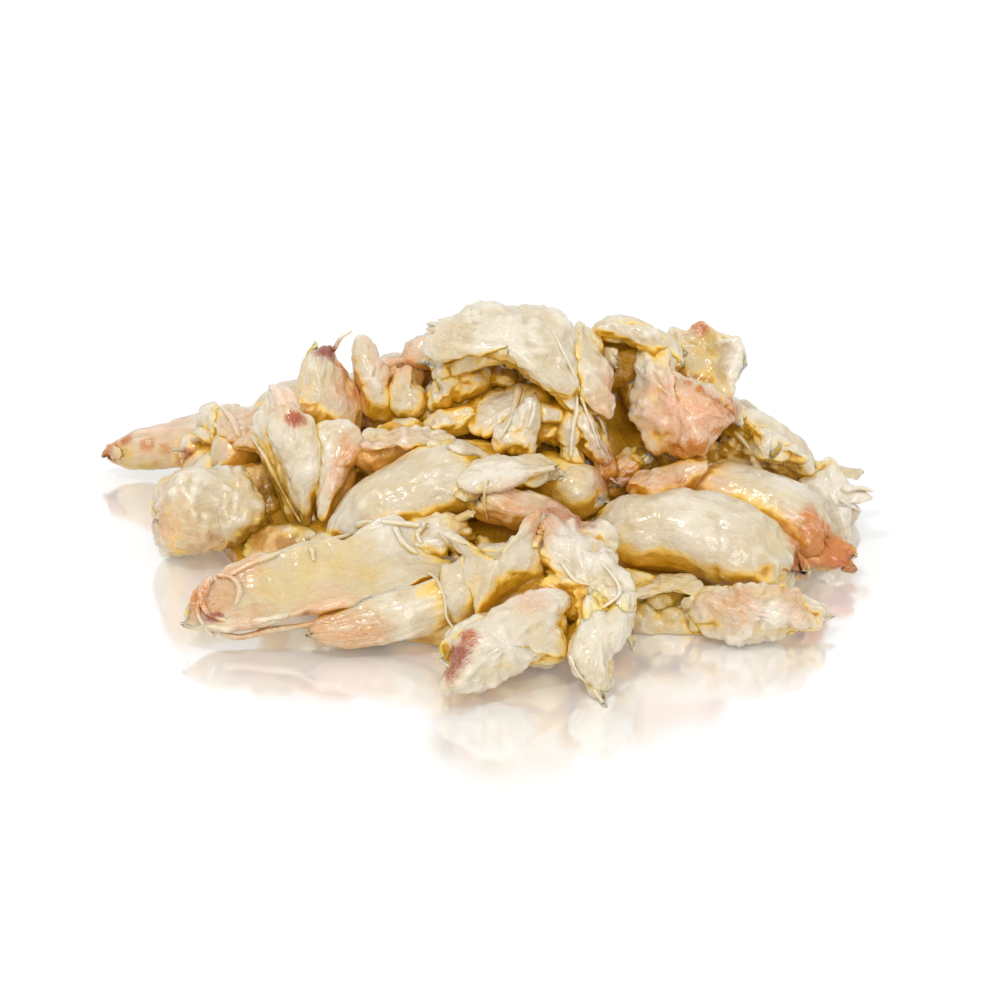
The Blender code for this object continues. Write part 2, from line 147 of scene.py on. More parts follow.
MEDIUM = {
    "left_saddle": ("chunk", (-60, 29, 15), (-37, 25, 16), 15, 12, 1, 0, 8),
    "fan_side": ("leaf", (-35, 8, 26), (-29, -4, 7), 11, 8, 1, 0, 0),
    "mid_spire": ("tower", (-25.5, 21, 39.5), (-20, 14, 18), 10, 9, 1, 1, 0),
    "knob": ("leaf", (-16, 19, 35), (-18, 13, 22), 8, 8, 0, 0, 0),
    "crown_leaf": ("leaf", (17.5, 13, 46), (22, 0, 28), 10, 9, 2, 0, 0),
    "arch": ("roof", (20, 16, 43), (38, 10, 39), 11, 6, 2, 0, 0),
    "back_cup": ("pod", (36, 24, 34), (51, 20, 34), 16, 6, 0, 0, -75),
    "back_right_band": ("leaf", (46, 12, 25), (66, 14, 13), 11, 8, 2, 0, 0),
    "back_right_lump": ("chunk", (53, 15, 16), (67, 18, 11), 10, 10, 0, 0, 0),
    "orange_tip": ("chunk", (58, -6, 5), (73, -9, 5), 10, 8, 0, 0, 0),
    "right_flap": ("wing", (59, 13, 12), (71, 13, 9), 13, 4, 0, 1, -60),
    "right_skirt": ("tail", (69, 10, 9), (72, 3, 1), 8, 5, 0, 0, 0),
    "tucked_flap": ("leaf", (43, -29, 7), (26, -30, 5), 7, 5, 0, 0, 0),
    "tusk_sleeve": ("sleeve", (-10, -42, 12), (9, -38, 17), 16, 8, 0, 0, -30),
    "pod_tail": ("chunk", (-18, -18, 13), (-5, -21, 15), 11, 8, 0, 0, 0),
    "shag_top": ("chunk", (10, -27, 17), (25, -31, 16), 15, 12, 1, 0, 0),
    "shag_root": ("chunk", (14, -17, 8), (17, -46, 5), 16, 13, 1, 0, 0),
    "shag_middle": ("chunk", (17, -33, 15), (24, -49, 8), 17, 11, 1, 0, 0),
    "shag_foot": ("tail", (19, -44, 9), (22, -62, 1), 14, 8, 0, 0, 0),
    "grey_flap": ("wing", (-10, -14, 22), (12.5, -12, 26), 11, 4, 1, 0, -10),
    "orange_wedge": ("tail", (-4, -16, 22), (19, -20, 15), 11, 9, 2, 0, 0),
    "mid_chunk_a": ("leaf", (-13, 2, 27), (3, 5, 31), 11, 10, 1, 0, 0),
    "mid_chunk_b": ("leaf", (2, -3, 23), (11, 6, 35), 10, 9, 1, 0, 0),
    "hanging_leaf": ("leaf", (16, 6, 34), (24, -6, 18), 10, 7, 1, 0, 0),
    "bulb": ("lump", (6, -3, 20), (22, -10, 17), 13, 12, 1, 0, 0),
    "rose_bit": ("chunk", (21, -4, 15), (32, 2, 22), 9, 8, 0, 0, 0),
    "side_wedge": ("leaf", (28, -8, 17), (44, -1, 21), 10, 9, 0, 0, 0),
    "left_mid_chunk": ("chunk", (-27, 2, 20), (-11, 1, 26), 12, 10, 1, 0, 0),
    "saddle_chunk": ("leaf", (-22, 12, 20), (-8, 14, 29), 10, 9, 0, 0, 0),
    "under_crown": ("chunk", (-12, 9, 28), (1, 12, 36), 11, 10, 0, 0, 0),
    "crown_prop": ("chunk", (2, 13, 28), (16, 12, 38), 12, 12, 0, 0, 0),
    "arch_prop": ("chunk", (19, 16, 35), (39, 15, 38), 13, 11, 0, 0, 0),
    "block_prop": ("chunk", (30, 12, 16), (46, 10, 20), 16, 14, 0, 0, 0),
    "white_cube": ("block", (9, -2, 26), (15, 7, 31), 8, 8, 0, 0, 0),
    "low_flake": ("leaf", (27, -30, 3), (44, -33, 2), 11, 6, 0, 0, 0),
    "low_flake_b": ("leaf", (24, -24, 7), (38, -28, 6), 10, 7, 0, 0, 10),
    "hollow_a": ("leaf", (-49, -3, 4), (-33, -9, 6), 12, 8, 1, 0, 0),
    "hollow_d": ("chunk", (-54, 15, 7), (-40, 12, 10), 14, 13, 1, 0, 0),
    "hollow_b": ("leaf", (-40, -13, 6), (-24, -17, 7), 12, 10, 0, 0, 0),
    "hollow_c": ("chunk", (-6, -20, 9), (9, -25, 9), 12, 10, 1, 0, 0),
    "front_prop": ("lump", (-20, -33, 5), (10, -40, 6), 16, 11, 0, 0, 0),
}

# Pieces of the hidden side, in rings: height, reach to the right and back, how many, first and
# last direction in degrees, and how far they lean at most.
BACK_CENTRE = (2.0, 6.0)
BACK_RINGS = (
    (6.5, (64, 45), 10, 18, 162, 50),
    (15, (53, 35), 9, 20, 160, 50),
    (25, (38, 25), 7, 30, 150, 40),
    (35, (20, 15), 3, 40, 108, 15),
)
BACK_KINDS = ("lump", "chunk", "leaf", "finger", "block", "lump", "roof", "tail")
BACK_SEED = 14

# How many loose flakes, against what its kind has.
SHAG = {
    "big_lump": 0.0,
    "tusk": 0.2,
    "pod": 0.2,
    "crown": 0.2,
    "orange_tip": 0.2,
    "left_front_lump": 0.3,
    "blush_block": 0.3,
    "right_front_block": 0.4,
    "front_block": 0.3,
    "shag_top": 1.5,
    "shag_middle": 1.2,
}

# Depth of the wrinkles toward the far end.
WRINKLED = {"big_lump": 0.8, "far_lobe": 0.5, "crown": 0.3, "tusk": 0.2}

# Blushes as seen from the front: right, up, radius, hue and strength. Hue 0 is pink, 0.5 is
# orange and 1 is a dark red brown.
BLUSHES = (
    (-78.6, 9.6, 4, 0.6, 1.5), (-68, 14, 9, 0.1, 0.5), (-74.6, 12, 2, 0.8, 1.2), (-70.6, 11.2, 2, 0.8, 0.8),
    (-66.6, 10, 2.2, 0.75, 0.8), (-62.6, 8.4, 2.4, 0.8, 1.1), (-34.6, 30, 3.2, 0.95, 1.8),
    (-31.4, 26, 2.6, 0.4, 1.2), (-29, 21, 2.6, 0.4, 1.2), (-31, 22, 5, 0.3, 0.6), (-30, 17, 4, 0.3, 0.5),
    (-41.4, 16.4, 1.8, 0.9, 1.8), (-39.6, 16.2, 1.4, 0.9, 1.5), (-43, 20, 6, 0.2, 0.4),
    (-29, 8, 6, 0.45, 0.8), (-31, 4, 5, 0.45, 0.7), (-20, 12.4, 5, 0.2, 0.4), (-59, -20, 7, 0.5, 0.8),
    (-62.4, -20, 4, 0.6, 1), (-57, -23.4, 2.2, 1, 1.8), (-53, -14, 7, 0.4, 0.6), (-46, -9, 6, 0.4, 0.4),
    (-50, -26, 6, 0.5, 0.6), (-36, -25, 7, 0.45, 0.7), (-34, -20, 7, 0.3, 0.5), (-28, -28.4, 7, 0.5, 0.6),
    (-16, -28, 5, 0.45, 0.35), (-8.4, -31, 3.6, 0.92, 1.4), (-6.4, -27.6, 2.6, 0.75, 1.4),
    (-10, -34.6, 2.6, 0.9, 1), (6, -20, 4, 0.3, 0.5), (3, -0.6, 5, 0.4, 0.7), (8, -2, 6, 0.5, 0.8),
    (12, -3, 5, 0.75, 0.9), (16, -4, 4, 0.85, 1), (-1, -4, 6, 0.5, 0.7), (35, 19, 9, 0.15, 0.8),
    (40, 18, 8, 0.3, 0.9), (44, 17, 6, 0.5, 0.9), (46, 18, 4, 0.7, 0.9), (35, 24.6, 1.4, 0.85, 1.2),
    (37.6, 23.4, 1.6, 0.9, 1.5), (40.4, 22, 1.6, 0.9, 1.6), (43.2, 20, 2, 0.9, 1.6),
    (45.4, 18, 2.4, 0.85, 1.8), (44, 14, 2.4, 0.8, 1.2), (36, 10, 3, 0.6, 1.5), (40, 10.4, 3, 0.65, 1.5),
    (38, 12, 6, 0.6, 0.7), (34, 10, 5, 0.6, 0.6), (30, 14, 5, 0.4, 0.4), (22, 24, 4, 0.3, 0.6),
    (21, 18, 4, 0.35, 0.6), (23, 6, 7, 0.75, 0.8), (27, 4, 5, 0.7, 0.6), (33, 4, 5, 0.5, 0.6),
    (36.6, 3, 2.5, 0.9, 0.8), (40, 4, 7, 0.3, 0.4), (60, -11, 4.5, 0.65, 1.5), (64, -9, 6, 0.55, 1.8),
    (68, -11, 6, 0.6, 2.2), (69, -13.6, 3.5, 0.8, 1.6), (62.4, -4, 3.5, 0.65, 1.3), (60, -6, 5, 0.4, 0.7),
    (48, -20, 6, 0.5, 0.6), (58, -18, 5, 0.5, 0.6), (60, -22, 5, 0.5, 0.5), (43, -20, 5, 0.5, 0.5),
    (59.4, -28, 2.5, 1, 0.8), (-67, -4, 7, 0.45, 0.5), (-60, -10, 6, 0.45, 0.45), (-49, 6, 5, 0.4, 0.4),
    (40, 35, 3, 0.65, 1), (-52, 16, 9, 0.3, 0.35),
)

# Where shade is painted in as a deep yellow brown, and where the flesh is nearly white: right,
# up, radius, strength.
SHADE_SPOTS = (
    (-36, -16, 17, 0.6), (-46, -17, 6, 0.7), (-39, -14, 6, 0.7), (-32, -13.6, 6, 0.7),
    (-26, -15, 5.5, 0.75), (-34, -18, 5, 0.7), (-42, -19.5, 5, 0.65), (-52, -21, 4, 0.75), (-8, 28, 6, 0.6),
    (-3, 27, 6, 0.6), (3, 24, 6, 0.6), (-43.5, 2, 6, 1.3), (-42, -3, 6, 1.3), (-46, 6, 5, 1),
    (-46, -5, 6, 1.4), (-40, -5, 5, 1.4), (-50, -7, 6, 1.4), (-48, -8, 5, 1.4), (-43, -8, 5, 1.4),
    (-39, -8.6, 4, 1.3), (-46.6, 3, 5, 1.3), (-30, 4, 4, 0.7), (-74, 8.2, 3.6, 1), (-70, 6.4, 4, 1),
    (-65.6, 5, 5, 1), (-60, -8, 6, 0.5), (-52, -9, 4, 0.5), (-49, 2, 4, 0.7), (23.6, 29, 5, 0.7),
    (24.2, 24, 4.5, 0.7), (24.4, 19, 4.5, 0.7), (24.6, 14, 5, 0.7), (9.8, 13, 4, 0.6), (12, 4, 8, 0.6),
    (-2, -2, 6, 0.9), (-8, -4, 5, 0.8), (32, -22, 8, 0.8), (-12, -26, 9, 0.4), (41, 31, 5, 0.8),
    (40, 27, 7, 0.5), (36, -17, 9, 0.5), (47.2, 7.8, 2.2, 1),
)
PALE = (
    (67, 0, 11, 1), (0, 6, 9, 0.9), (-38, 4, 9, 0.7), (-46, -9.6, 3.5, 0.8), (-38, -7, 3.5, 0.8),
    (-30, -5.6, 4, 0.9), (-23, -6, 5, 0.9), (52, 8, 8, 0.6), (0, -26, 10, 0.6), (16, -7, 6, 0.8),
    (20, -16, 7, 0.7), (20, -27, 7, 0.7), (54, -24, 9, 0.5), (2, 18, 9, 0.6), (28, 25, 4, 0.8),
    (-16, -24.5, 6, 0.8), (38, -11, 12, 0.35), (-11, -21, 5, 0.6), (58, 4, 6, 0.8), (50, 11, 5, 0.7),
    (40, -13, 8, 0.4), (6, 34, 10, 0.3),
)

# Broad flakes as seen from the front: thickness, how far they stand out of what is behind
# them, how far the middle bulges, depth of lumps, way of the fibres in degrees, and the
# outline as places to the right and up, in turn. A flake with None has its depth in FREE_DEPTH.
PLATES = {
    "finger_tip": (3, 0.4, 0.6, 0.2, 0, (
        -78.8, 10.8, -77.6, 11.4, -75.8, 10.8, -75, 9.4, -75.6, 8, -77.6, 7.8, -78.4, 9)),
    "star_flap": (2.4, None, 1, 0.4, 20, (
        60, 4, 63, 5.2, 65.2, 6, 66.8, 6.8, 68.4, 4.8, 70, 3.2, 72.4, 2, 74.8, 0.2, 72.4, -0.4, 70,
        -0.8, 69.6, -3, 70, -5.6, 70.8, -9, 68, -9, 65, -8, 62.4, -5, 61, -1)),
    "grey_flap": (2.6, 1.6, 0.8, 0.3, 15, (
        -9, 4, -5, 7, 0, 8.9, 4, 8, 8, 7, 10.8, 6.4, 8, 5.2, 4, 3.5, 1, 2, -3, 1.2, -7, 2)),
    "sleeve": (3.6, 0.6, 3.4, 0.3, 35, (
        -12.4, -6.4, -10, -6, -8, -7.4, -6.4, -9.6, -3.2, -10.4, 0.8, -9.8, 3.6, -7.6, 5.6, -3.6, 8.4,
        -1.4, 7.6, -4.4, 6.8, -6, 7.6, -9.2, 8.2, -12.4, 8, -15.4, 4, -18, -0.4, -20.8, -4.6, -24, -5.4,
        -22, -6, -19, -7.6, -15.6, -7, -12, -8.4, -10, -10.4, -7.6)),
    "crown_face": (6, 1, 3.4, 0.8, 10, (
        -15, 27.6, -15.2, 29.6, -14.6, 32.2, -12.8, 33.6, -12.2, 35.6, -9, 37.2, -4, 38.6, 1, 39, 6,
        38.4, 11, 37.6, 14.2, 35.2, 14.8, 32, 15.4, 27, 16, 22, 14, 20, 11, 20.6, 7, 22.6, 4, 26, 0,
        28.4, -3, 29.8, -7.6, 30.4, -10, 29, -12.6, 27.4)),
    "crown_leaf_face": (4, 1.2, 1, 0.5, 70, (
        15.4, 35.6, 17.4, 34.6, 19.4, 32.6, 21, 29, 22.4, 25.6, 22.2, 22, 23.2, 20, 22.4, 17, 20.4,
        16.8, 18, 18.6, 16, 20, 15.4, 23, 14.4, 27, 14, 31)),
    "arch_face": (3.6, 1.2, 1, 0.5, -20, (
        19.4, 33.4, 20, 34.8, 24, 35.6, 28.4, 34.8, 32, 33, 34, 30.6, 35, 27.6, 32, 27, 29, 29, 26.4,
        30.2, 23.4, 31.8, 21, 32)),
    "pink_face": (7, 1, 3, 0.9, 65, (
        28.4, 29.6, 33.4, 30.6, 36, 25.6, 40.4, 23.6, 45, 20, 47.4, 16, 45.4, 14, 42.4, 11.6, 40, 9.6,
        36, 9.2, 31.4, 10, 29, 12, 27, 15, 26.4, 19, 27, 23, 27.4, 27)),
    "cup_face": (3.2, 1, -2.4, 0.5, 60, (
        34, 31.6, 34.4, 34, 37.4, 34, 40.2, 35.8, 42.4, 34.6, 44.4, 32, 47.4, 32.2, 48.2, 29, 47, 25,
        46.4, 20.6, 44.4, 20.6, 40.4, 22.6, 36, 24.6, 35, 28)),
    "wedge": (3.2, 1.6, 0.6, 0.4, 15, (
        25.8, -19.4, 29.4, -17.4, 32, -15, 35.6, -14.8, 39.4, -16, 40.6, -17.8, 39.4, -19.4, 35.6,
        -18.6, 30.8, -19)),
    "right_face": (7, 0.5, 2.2, 1, -5, (
        38.2, -21.8, 39, -19.6, 43, -19.2, 47.4, -17.8, 51.6, -17, 57.8, -17, 60, -18.2, 61.6, -21.8,
        63.6, -24.4, 61.6, -25.6, 57.8, -26, 55.2, -27.8, 49, -28.2, 43.8, -28, 40.4, -26, 38.4, -24)),
    "front_face": (7, 0.5, 2.6, 0.7, 25, (
        -12, -38.4, -11.6, -35.2, -10, -31.2, -7.2, -25.6, -4.8, -24, 0, -21.6, 5.6, -18.6, 8, -18,
        11.2, -18.4, 13.2, -20.8, 13.6, -24.8, 14.4, -28, 14.4, -31.6, 10, -30.8, 6.4, -32.4, 2.4,
        -35.2, -1.6, -37.2, -4.8, -38.4, -8, -38.6)),
    "shag_mass": (7, 1, 2.4, 1.6, 80, (
        8, -7, 11.6, -5.2, 16.4, -4.5, 20.6, -5.8, 23, -8.8, 25.4, -12.4, 26, -16, 24.8, -19, 25.4,
        -23.2, 24.2, -26.8, 20, -28, 15, -27, 14, -23.2, 12.2, -20.2, 9, -18.4, 9.8, -14.8, 8, -11.2)),
    "shag_lobe": (6, 1.6, 2.4, 0.4, 75, (
        18, -18.4, 22, -17.6, 25.2, -18, 26.8, -22.4, 26.4, -25.6, 24, -29.6, 21.4, -31.6, 21, -37.6,
        18, -36.6, 14.4, -34, 14, -31.2, 14.4, -28, 16, -24.8, 17.2, -21.6)),
    "spire_face": (5, 1.4, 2.4, 0.5, 75, (
        -39.4, 25, -38.2, 29, -36.4, 30.8, -33.6, 30.6, -32.2, 28.4, -30.4, 26, -28.6, 21.8, -27.8,
        18.2, -28, 13, -32, 11.6, -37, 14, -41, 15.6, -43, 18.6, -41.4, 20.6, -40, 21.4)),
    "fan_face": (4, 1.2, 1.6, 0.4, 75, (
        -44.2, 19.4, -43, 20, -40, 18.2, -36.4, 15.2, -35.2, 8, -36.4, 0.8, -38.2, -5.2, -39.4, -4.6,
        -41.2, -0.4, -43.6, 5.6, -46, 11.6, -46.6, 15.2)),
    "fan_side_face": (3.6, 1.4, 1.4, 0.4, 65, (
        -36.4, 15.2, -31.6, 15.8, -28, 14, -26.8, 10.4, -30.4, 4.4, -33.4, -1.6, -35.2, -4.6, -37, -2.8,
        -36.4, 4.4, -36, 10.4)),
    "mid_spire_face": (4.6, 1.4, 1.6, 0.4, 85, (
        -29.8, 28.4, -29.5, 31.4, -27.4, 33, -25.6, 32, -24.4, 29, -22.6, 26.6, -22, 22.4, -20.8, 17,
        -23, 15.6, -27, 16.6, -28, 21.6, -29.6, 25)),
    "knob_face": (4, 1.4, 1.2, 0.4, 80, (
        -21.6, 25.6, -19.6, 26.6, -17, 26.8, -16.6, 24, -15.6, 22, -14.6, 19, -17, 16.6, -20.6, 17, -22,
        20)),
    "far_right_flake": (5, 1, 1.6, 1.5, -30, (
        47.2, 16, 50.8, 15.2, 54.2, 12.6, 56, 10.4, 59.8, 10, 62, 8.2, 61.2, 5.6, 58.6, 3, 55.2, 4, 52,
        6, 50.4, 9.2, 48.2, 12.6)),
    "holed_flake": (3.4, 1.2, 1, 1.2, -30, (
        44, 12, 47, 13.6, 49, 12, 50.4, 9, 50, 6.4, 47, 5.2, 44.4, 6, 42.4, 9)),
    "centre_leaf_a": (4, 1.2, 1.6, 0.5, 35, (
        -6.8, 15.2, -6.4, 18, -4, 20.4, 0.8, 22, 5.6, 22.8, 6.8, 21.2, 4.4, 17, 0.4, 13.6, -2.8, 12, -6,
        13.2)),
    "centre_leaf_b": (3.6, 2, 1.2, 0.6, 60, (
        -1.2, 12.4, 0, 14.4, 3.2, 17.4, 5.4, 20.4, 7, 20.4, 7.4, 17.2, 6.8, 12.4, 6.2, 8.4, 4, 8.8, 1.2,
        9.8, -0.6, 10.4)),
    "centre_leaf_c": (3.4, 1.6, 1.2, 0.6, -65, (
        15.8, 18.4, 18.4, 17.6, 20, 14, 21.2, 10, 22, 8, 20, 7.2, 18.4, 9.2, 16, 12, 15.4, 15.6)),
    "centre_leaf_d": (3.2, 1.4, 1, 0.5, 85, (
        13.2, 18.4, 15.8, 18.8, 16.4, 14, 16.2, 10, 17, 5.4, 13.4, 5.6, 12, 10.8, 11.8, 14.2)),
    "cube_face": (4, 1, 0.6, 0.3, 90, (
        7.2, 19.4, 9.6, 19.8, 12.8, 19.4, 12.8, 15.6, 10.4, 15.2, 7.6, 15.6)),
    "under_crown_bit": (3.6, 1.4, 1.4, 0.7, -30, (
        -3, 26, -1, 27.6, 2, 26.2, 4.4, 23.4, 3, 22, -0.6, 22.4, -3, 23.6)),
    "under_crown_face": (4.6, 0.8, 1.8, 1, 40, (
        -10.6, 27.6, -7.6, 28, -4, 27, -2.6, 24.6, -4, 21.6, -7.6, 20, -11, 18.6, -12.6, 19, -11.6, 22,
        -12, 25)),
    "left_middle_flake": (4, 1, 1.4, 0.7, 0, (
        -27, 14, -22, 15, -16, 14.6, -10, 13.6, -10, 10.4, -17, 10.6, -24, 9.6, -28, 11)),
    "saddle_face": (5, 0.8, 1.6, 0.9, 10, (
        -58, 16.6, -55.6, 19.2, -52, 19, -47, 18.6, -44, 17.6, -44, 11.6, -48, 10, -52, 10.6, -55, 12,
        -57, 14)),
}
FREE_DEPTH = {"star_flap": 1010.0}
# Lofts that have such a flake as their face are a little slimmer.
FACED_SHARE = 0.86
FACED = (
    "crown crown_leaf arch blush_block back_cup grey_flap tusk_sleeve right_front_block front_block "
    "shag_top shag_middle shag_foot left_spire left_fan mid_spire knob left_saddle mid_chunk_a "
    "mid_chunk_b hanging_leaf under_crown right_flap"
).split()

# Strands as seen from the front: radius at the two ends, how far they stand out of what is
# behind them, and places to the right and up, in turn.
STRANDS = (
    (1.1, 1, 0.4, (-56.6, -16.6, -50.7, -13.2, -45.7, -11.2, -39.8, -9, -35.7, -8.4, -29.3, -6.8)),
    (0.9, 0.8, 0.3, (-56, -26.6, -52, -27.4, -45.7, -26, -38.4, -25, -33, -24.4)),
    (1.2, 0.9, 0.5, (-57.4, -15.2, -59.2, -17.6, -59.6, -20.4, -57.8, -23.2, -54, -24.4)),
    (1, 0.7, 0.5, (-57, -15, -53.6, -15.6, -52, -18, -53, -21.6)),
    (0.6, 0.3, 0.3, (-33.4, 29.6, -31.8, 32.4, -29.6, 33.8)),
    (1, 0.6, 0.5, (-49.6, 13.2, -46.8, 8.4, -43.6, 2, -39.6, -5)),
    (0.7, 0.7, 0.5, (10.4, 34, 12, 30.8, 14, 26.8, 15.6, 22.8, 15.2, 20.8)),
    (0.8, 0.5, 0.5, (15.4, 21.4, 15.2, 17.2, 14.4, 13.2, 14, 8)),
    (0.5, 0.3, 0.8, (16, 21, 18, 16, 20, 10)),
    (1.3, 0.3, 0.6, (-8.4, -12.4, -10.2, -9, -12.4, -6.2)),
    (1.5, 0.3, 0.6, (6.4, -9.6, 8.2, -6, 9, -2)),
    (0.55, 0.35, 0.7, (-14.8, -14.4, -12.4, -16, -11, -19.6, -10.4, -24, -6.8, -28)),
    (0.8, 0.6, 0.4, (-38.8, -7, -37.6, -10, -37.2, -12.4)),
    (1.1, 0.9, 0.5, (-50, -24.6, -46, -23.8, -42, -22.9)),
    (0.9, 0.6, 0.6, (-60, -19.6, -60.4, -22.6, -59, -25.4, -57, -27.8)),
    (1.1, 0.9, 0.3, (-29, -5.4, -25, -4.4, -19, -4.8, -13.6, -5.4)),
    (1.3, 0.7, 0.5, (-21, -5.4, -19.4, -8.4, -16.4, -11)),
    (1, 0.5, 0.5, (-14.6, -4.4, -16.4, -6.6, -15.6, -9)),
    (0.5, 0.3, 0.8, (-2.6, 4.4, -3.2, 0, -2.4, -4.4)),
    (1.3, 0.8, 0.5, (46.6, 14, 49.6, 10.6, 51.4, 6.4, 51.8, 4)),
    (1.2, 0.3, 0.3, (68, 2, 72, 2.4, 74.8, 1.6)),
    (1, 0.3, 0.3, (68, 0, 70.5, -1.4, 72.4, -2.4)),
    (1.1, 0.8, 0.5, (-55.6, 18.6, -53.2, 15.8, -52, 12.4)),
    (0.8, 0.3, 0.8, (4, 23, 2.4, 17, 0, 12)),
    (0.6, 0.3, 0.8, (7, 21.6, 6.8, 18, 5.6, 14)),
    (0.6, 0.3, 0.6, (14, -31, 15.4, -34.4, 17.6, -36.8)),
    (0.7, 0.4, 0.9, (12, -12, 15, -16, 18, -17)),
    (0.6, 0.4, 0.9, (20, -12, 24, -18, 20, -22)),
)


# ---------------------------------------------------------------- noise


def lattice(cells, seed):
    x, y, z = (cells[..., i].astype(np.int64) for i in range(3))
    mixed = x * 374761393 + y * 668265263 + z * 2147483647 + seed * 1274126177
    mixed = (mixed ^ (mixed >> 13)) * 1103515245
    mixed = (mixed ^ (mixed >> 16)) & 0xFFFFF
    return mixed / 0x7FFFF - 1.0


def smooth_noise(points, seed):
    """Value noise from -1 to 1, smooth over one unit."""
    base = np.floor(points)
    part = points - base
    part = part * part * (3.0 - 2.0 * part)
    total = np.zeros(points.shape[:-1])
    for corner in np.ndindex(2, 2, 2):
        weight = np.ones(points.shape[:-1])
        for axis, side in enumerate(corner):
            weight = weight * (part[..., axis] if side else 1.0 - part[..., axis])
        total += weight * lattice(base + np.array(corner), seed)
    return total


def layers(places, seed, *table):
    """Layers of noise, one on the other: the weight, the size and the shift of each."""
    total = 0.0
    for weight, size, shift in table:
        total = total + weight * smooth_noise(places / size + shift, seed)
    return total


def blunted(values, power):
    """The values raised to a power with their signs kept."""
    return np.sign(values) * np.abs(values) ** power


def unit(vectors):
    return vectors / np.maximum(np.linalg.norm(vectors, axis=-1, keepdims=True), 1e-9)


def bundles(places, seed):
    """Cells of scattered points: how far a place is from their borders, and each one's mark."""
    base = np.floor(places)
    first = np.full(places.shape[:-1], 9.0)
    second = first.copy()
    mark = np.zeros(first.shape)
    for corner in np.ndindex(3, 3, 3):
        cell = base + (np.array(corner) - 1.0)
        spot = cell + 0.5 + 0.42 * np.stack([lattice(cell, seed + k) for k in (1, 2, 3)], -1)
        gap = np.linalg.norm(places - spot, axis=-1)
        nearer = gap < first
        second = np.where(nearer, first, np.minimum(second, gap))
        mark = np.where(nearer, lattice(cell, seed + 4), mark)
        first = np.where(nearer, gap, first)
    inside = np.clip((second - first) / 0.4, 0.0, 1.0)
    return inside * inside * (3.0 - 2.0 * inside), mark


def out_of_heap(places):
    return unit(places / HEAP_AXES**2 + np.array([0.0, 0.0, 0.15 / HEAP_AXES[2]]))


# ---------------------------------------------------------------- lofts


def as_lofts(rows):
    """A dict of arrays from rows of the tables."""
    kinds = np.array([KINDS[row[0]] for row in rows])
    names = ("start_size", "end_size", "blunt", "square", "cup")
    names += ("fibre", "lumps", "torn_start", "torn_end", "frill", "shag", "bundle")
    lofts = {name: kinds[:, i] for i, name in enumerate(names)}
    lofts["start"] = np.array([row[1] for row in rows], float)
    lofts["end"] = np.array([row[2] for row in rows], float)
    for i, name in enumerate(("width", "thick", "arch", "sweep", "roll")):
        lofts[name] = np.array([row[3 + i] for row in rows], float)
    lofts["out"] = out_of_heap((lofts["start"] + lofts["end"]) / 2.0)
    lofts["wrinkle"] = np.zeros(len(rows))
    return lofts


def even_swings(lofts, rings):
    """Where the sections sit, spaced evenly over the surface from tip to tip."""
    dense = np.linspace(0.0, np.pi, 241)
    length = np.linalg.norm(lofts["end"] - lofts["start"], axis=1)
    swings = []
    for i in range(len(length)):
        step = (1.0 - blunted(np.cos(dense), 1.0 / lofts["blunt"][i])) / 2.0
        high = np.sin(dense) * (lofts["width"][i] + lofts["thick"][i]) / 4.0
        walk = np.hypot(np.diff(step * length[i]), np.diff(high))
        walk = np.concatenate([[0.0], np.cumsum(walk)])
        wanted = walk[-1] * (np.arange(rings) + 0.5) / rings
        swings.append(np.interp(wanted, walk, dense))
    return np.array(swings)


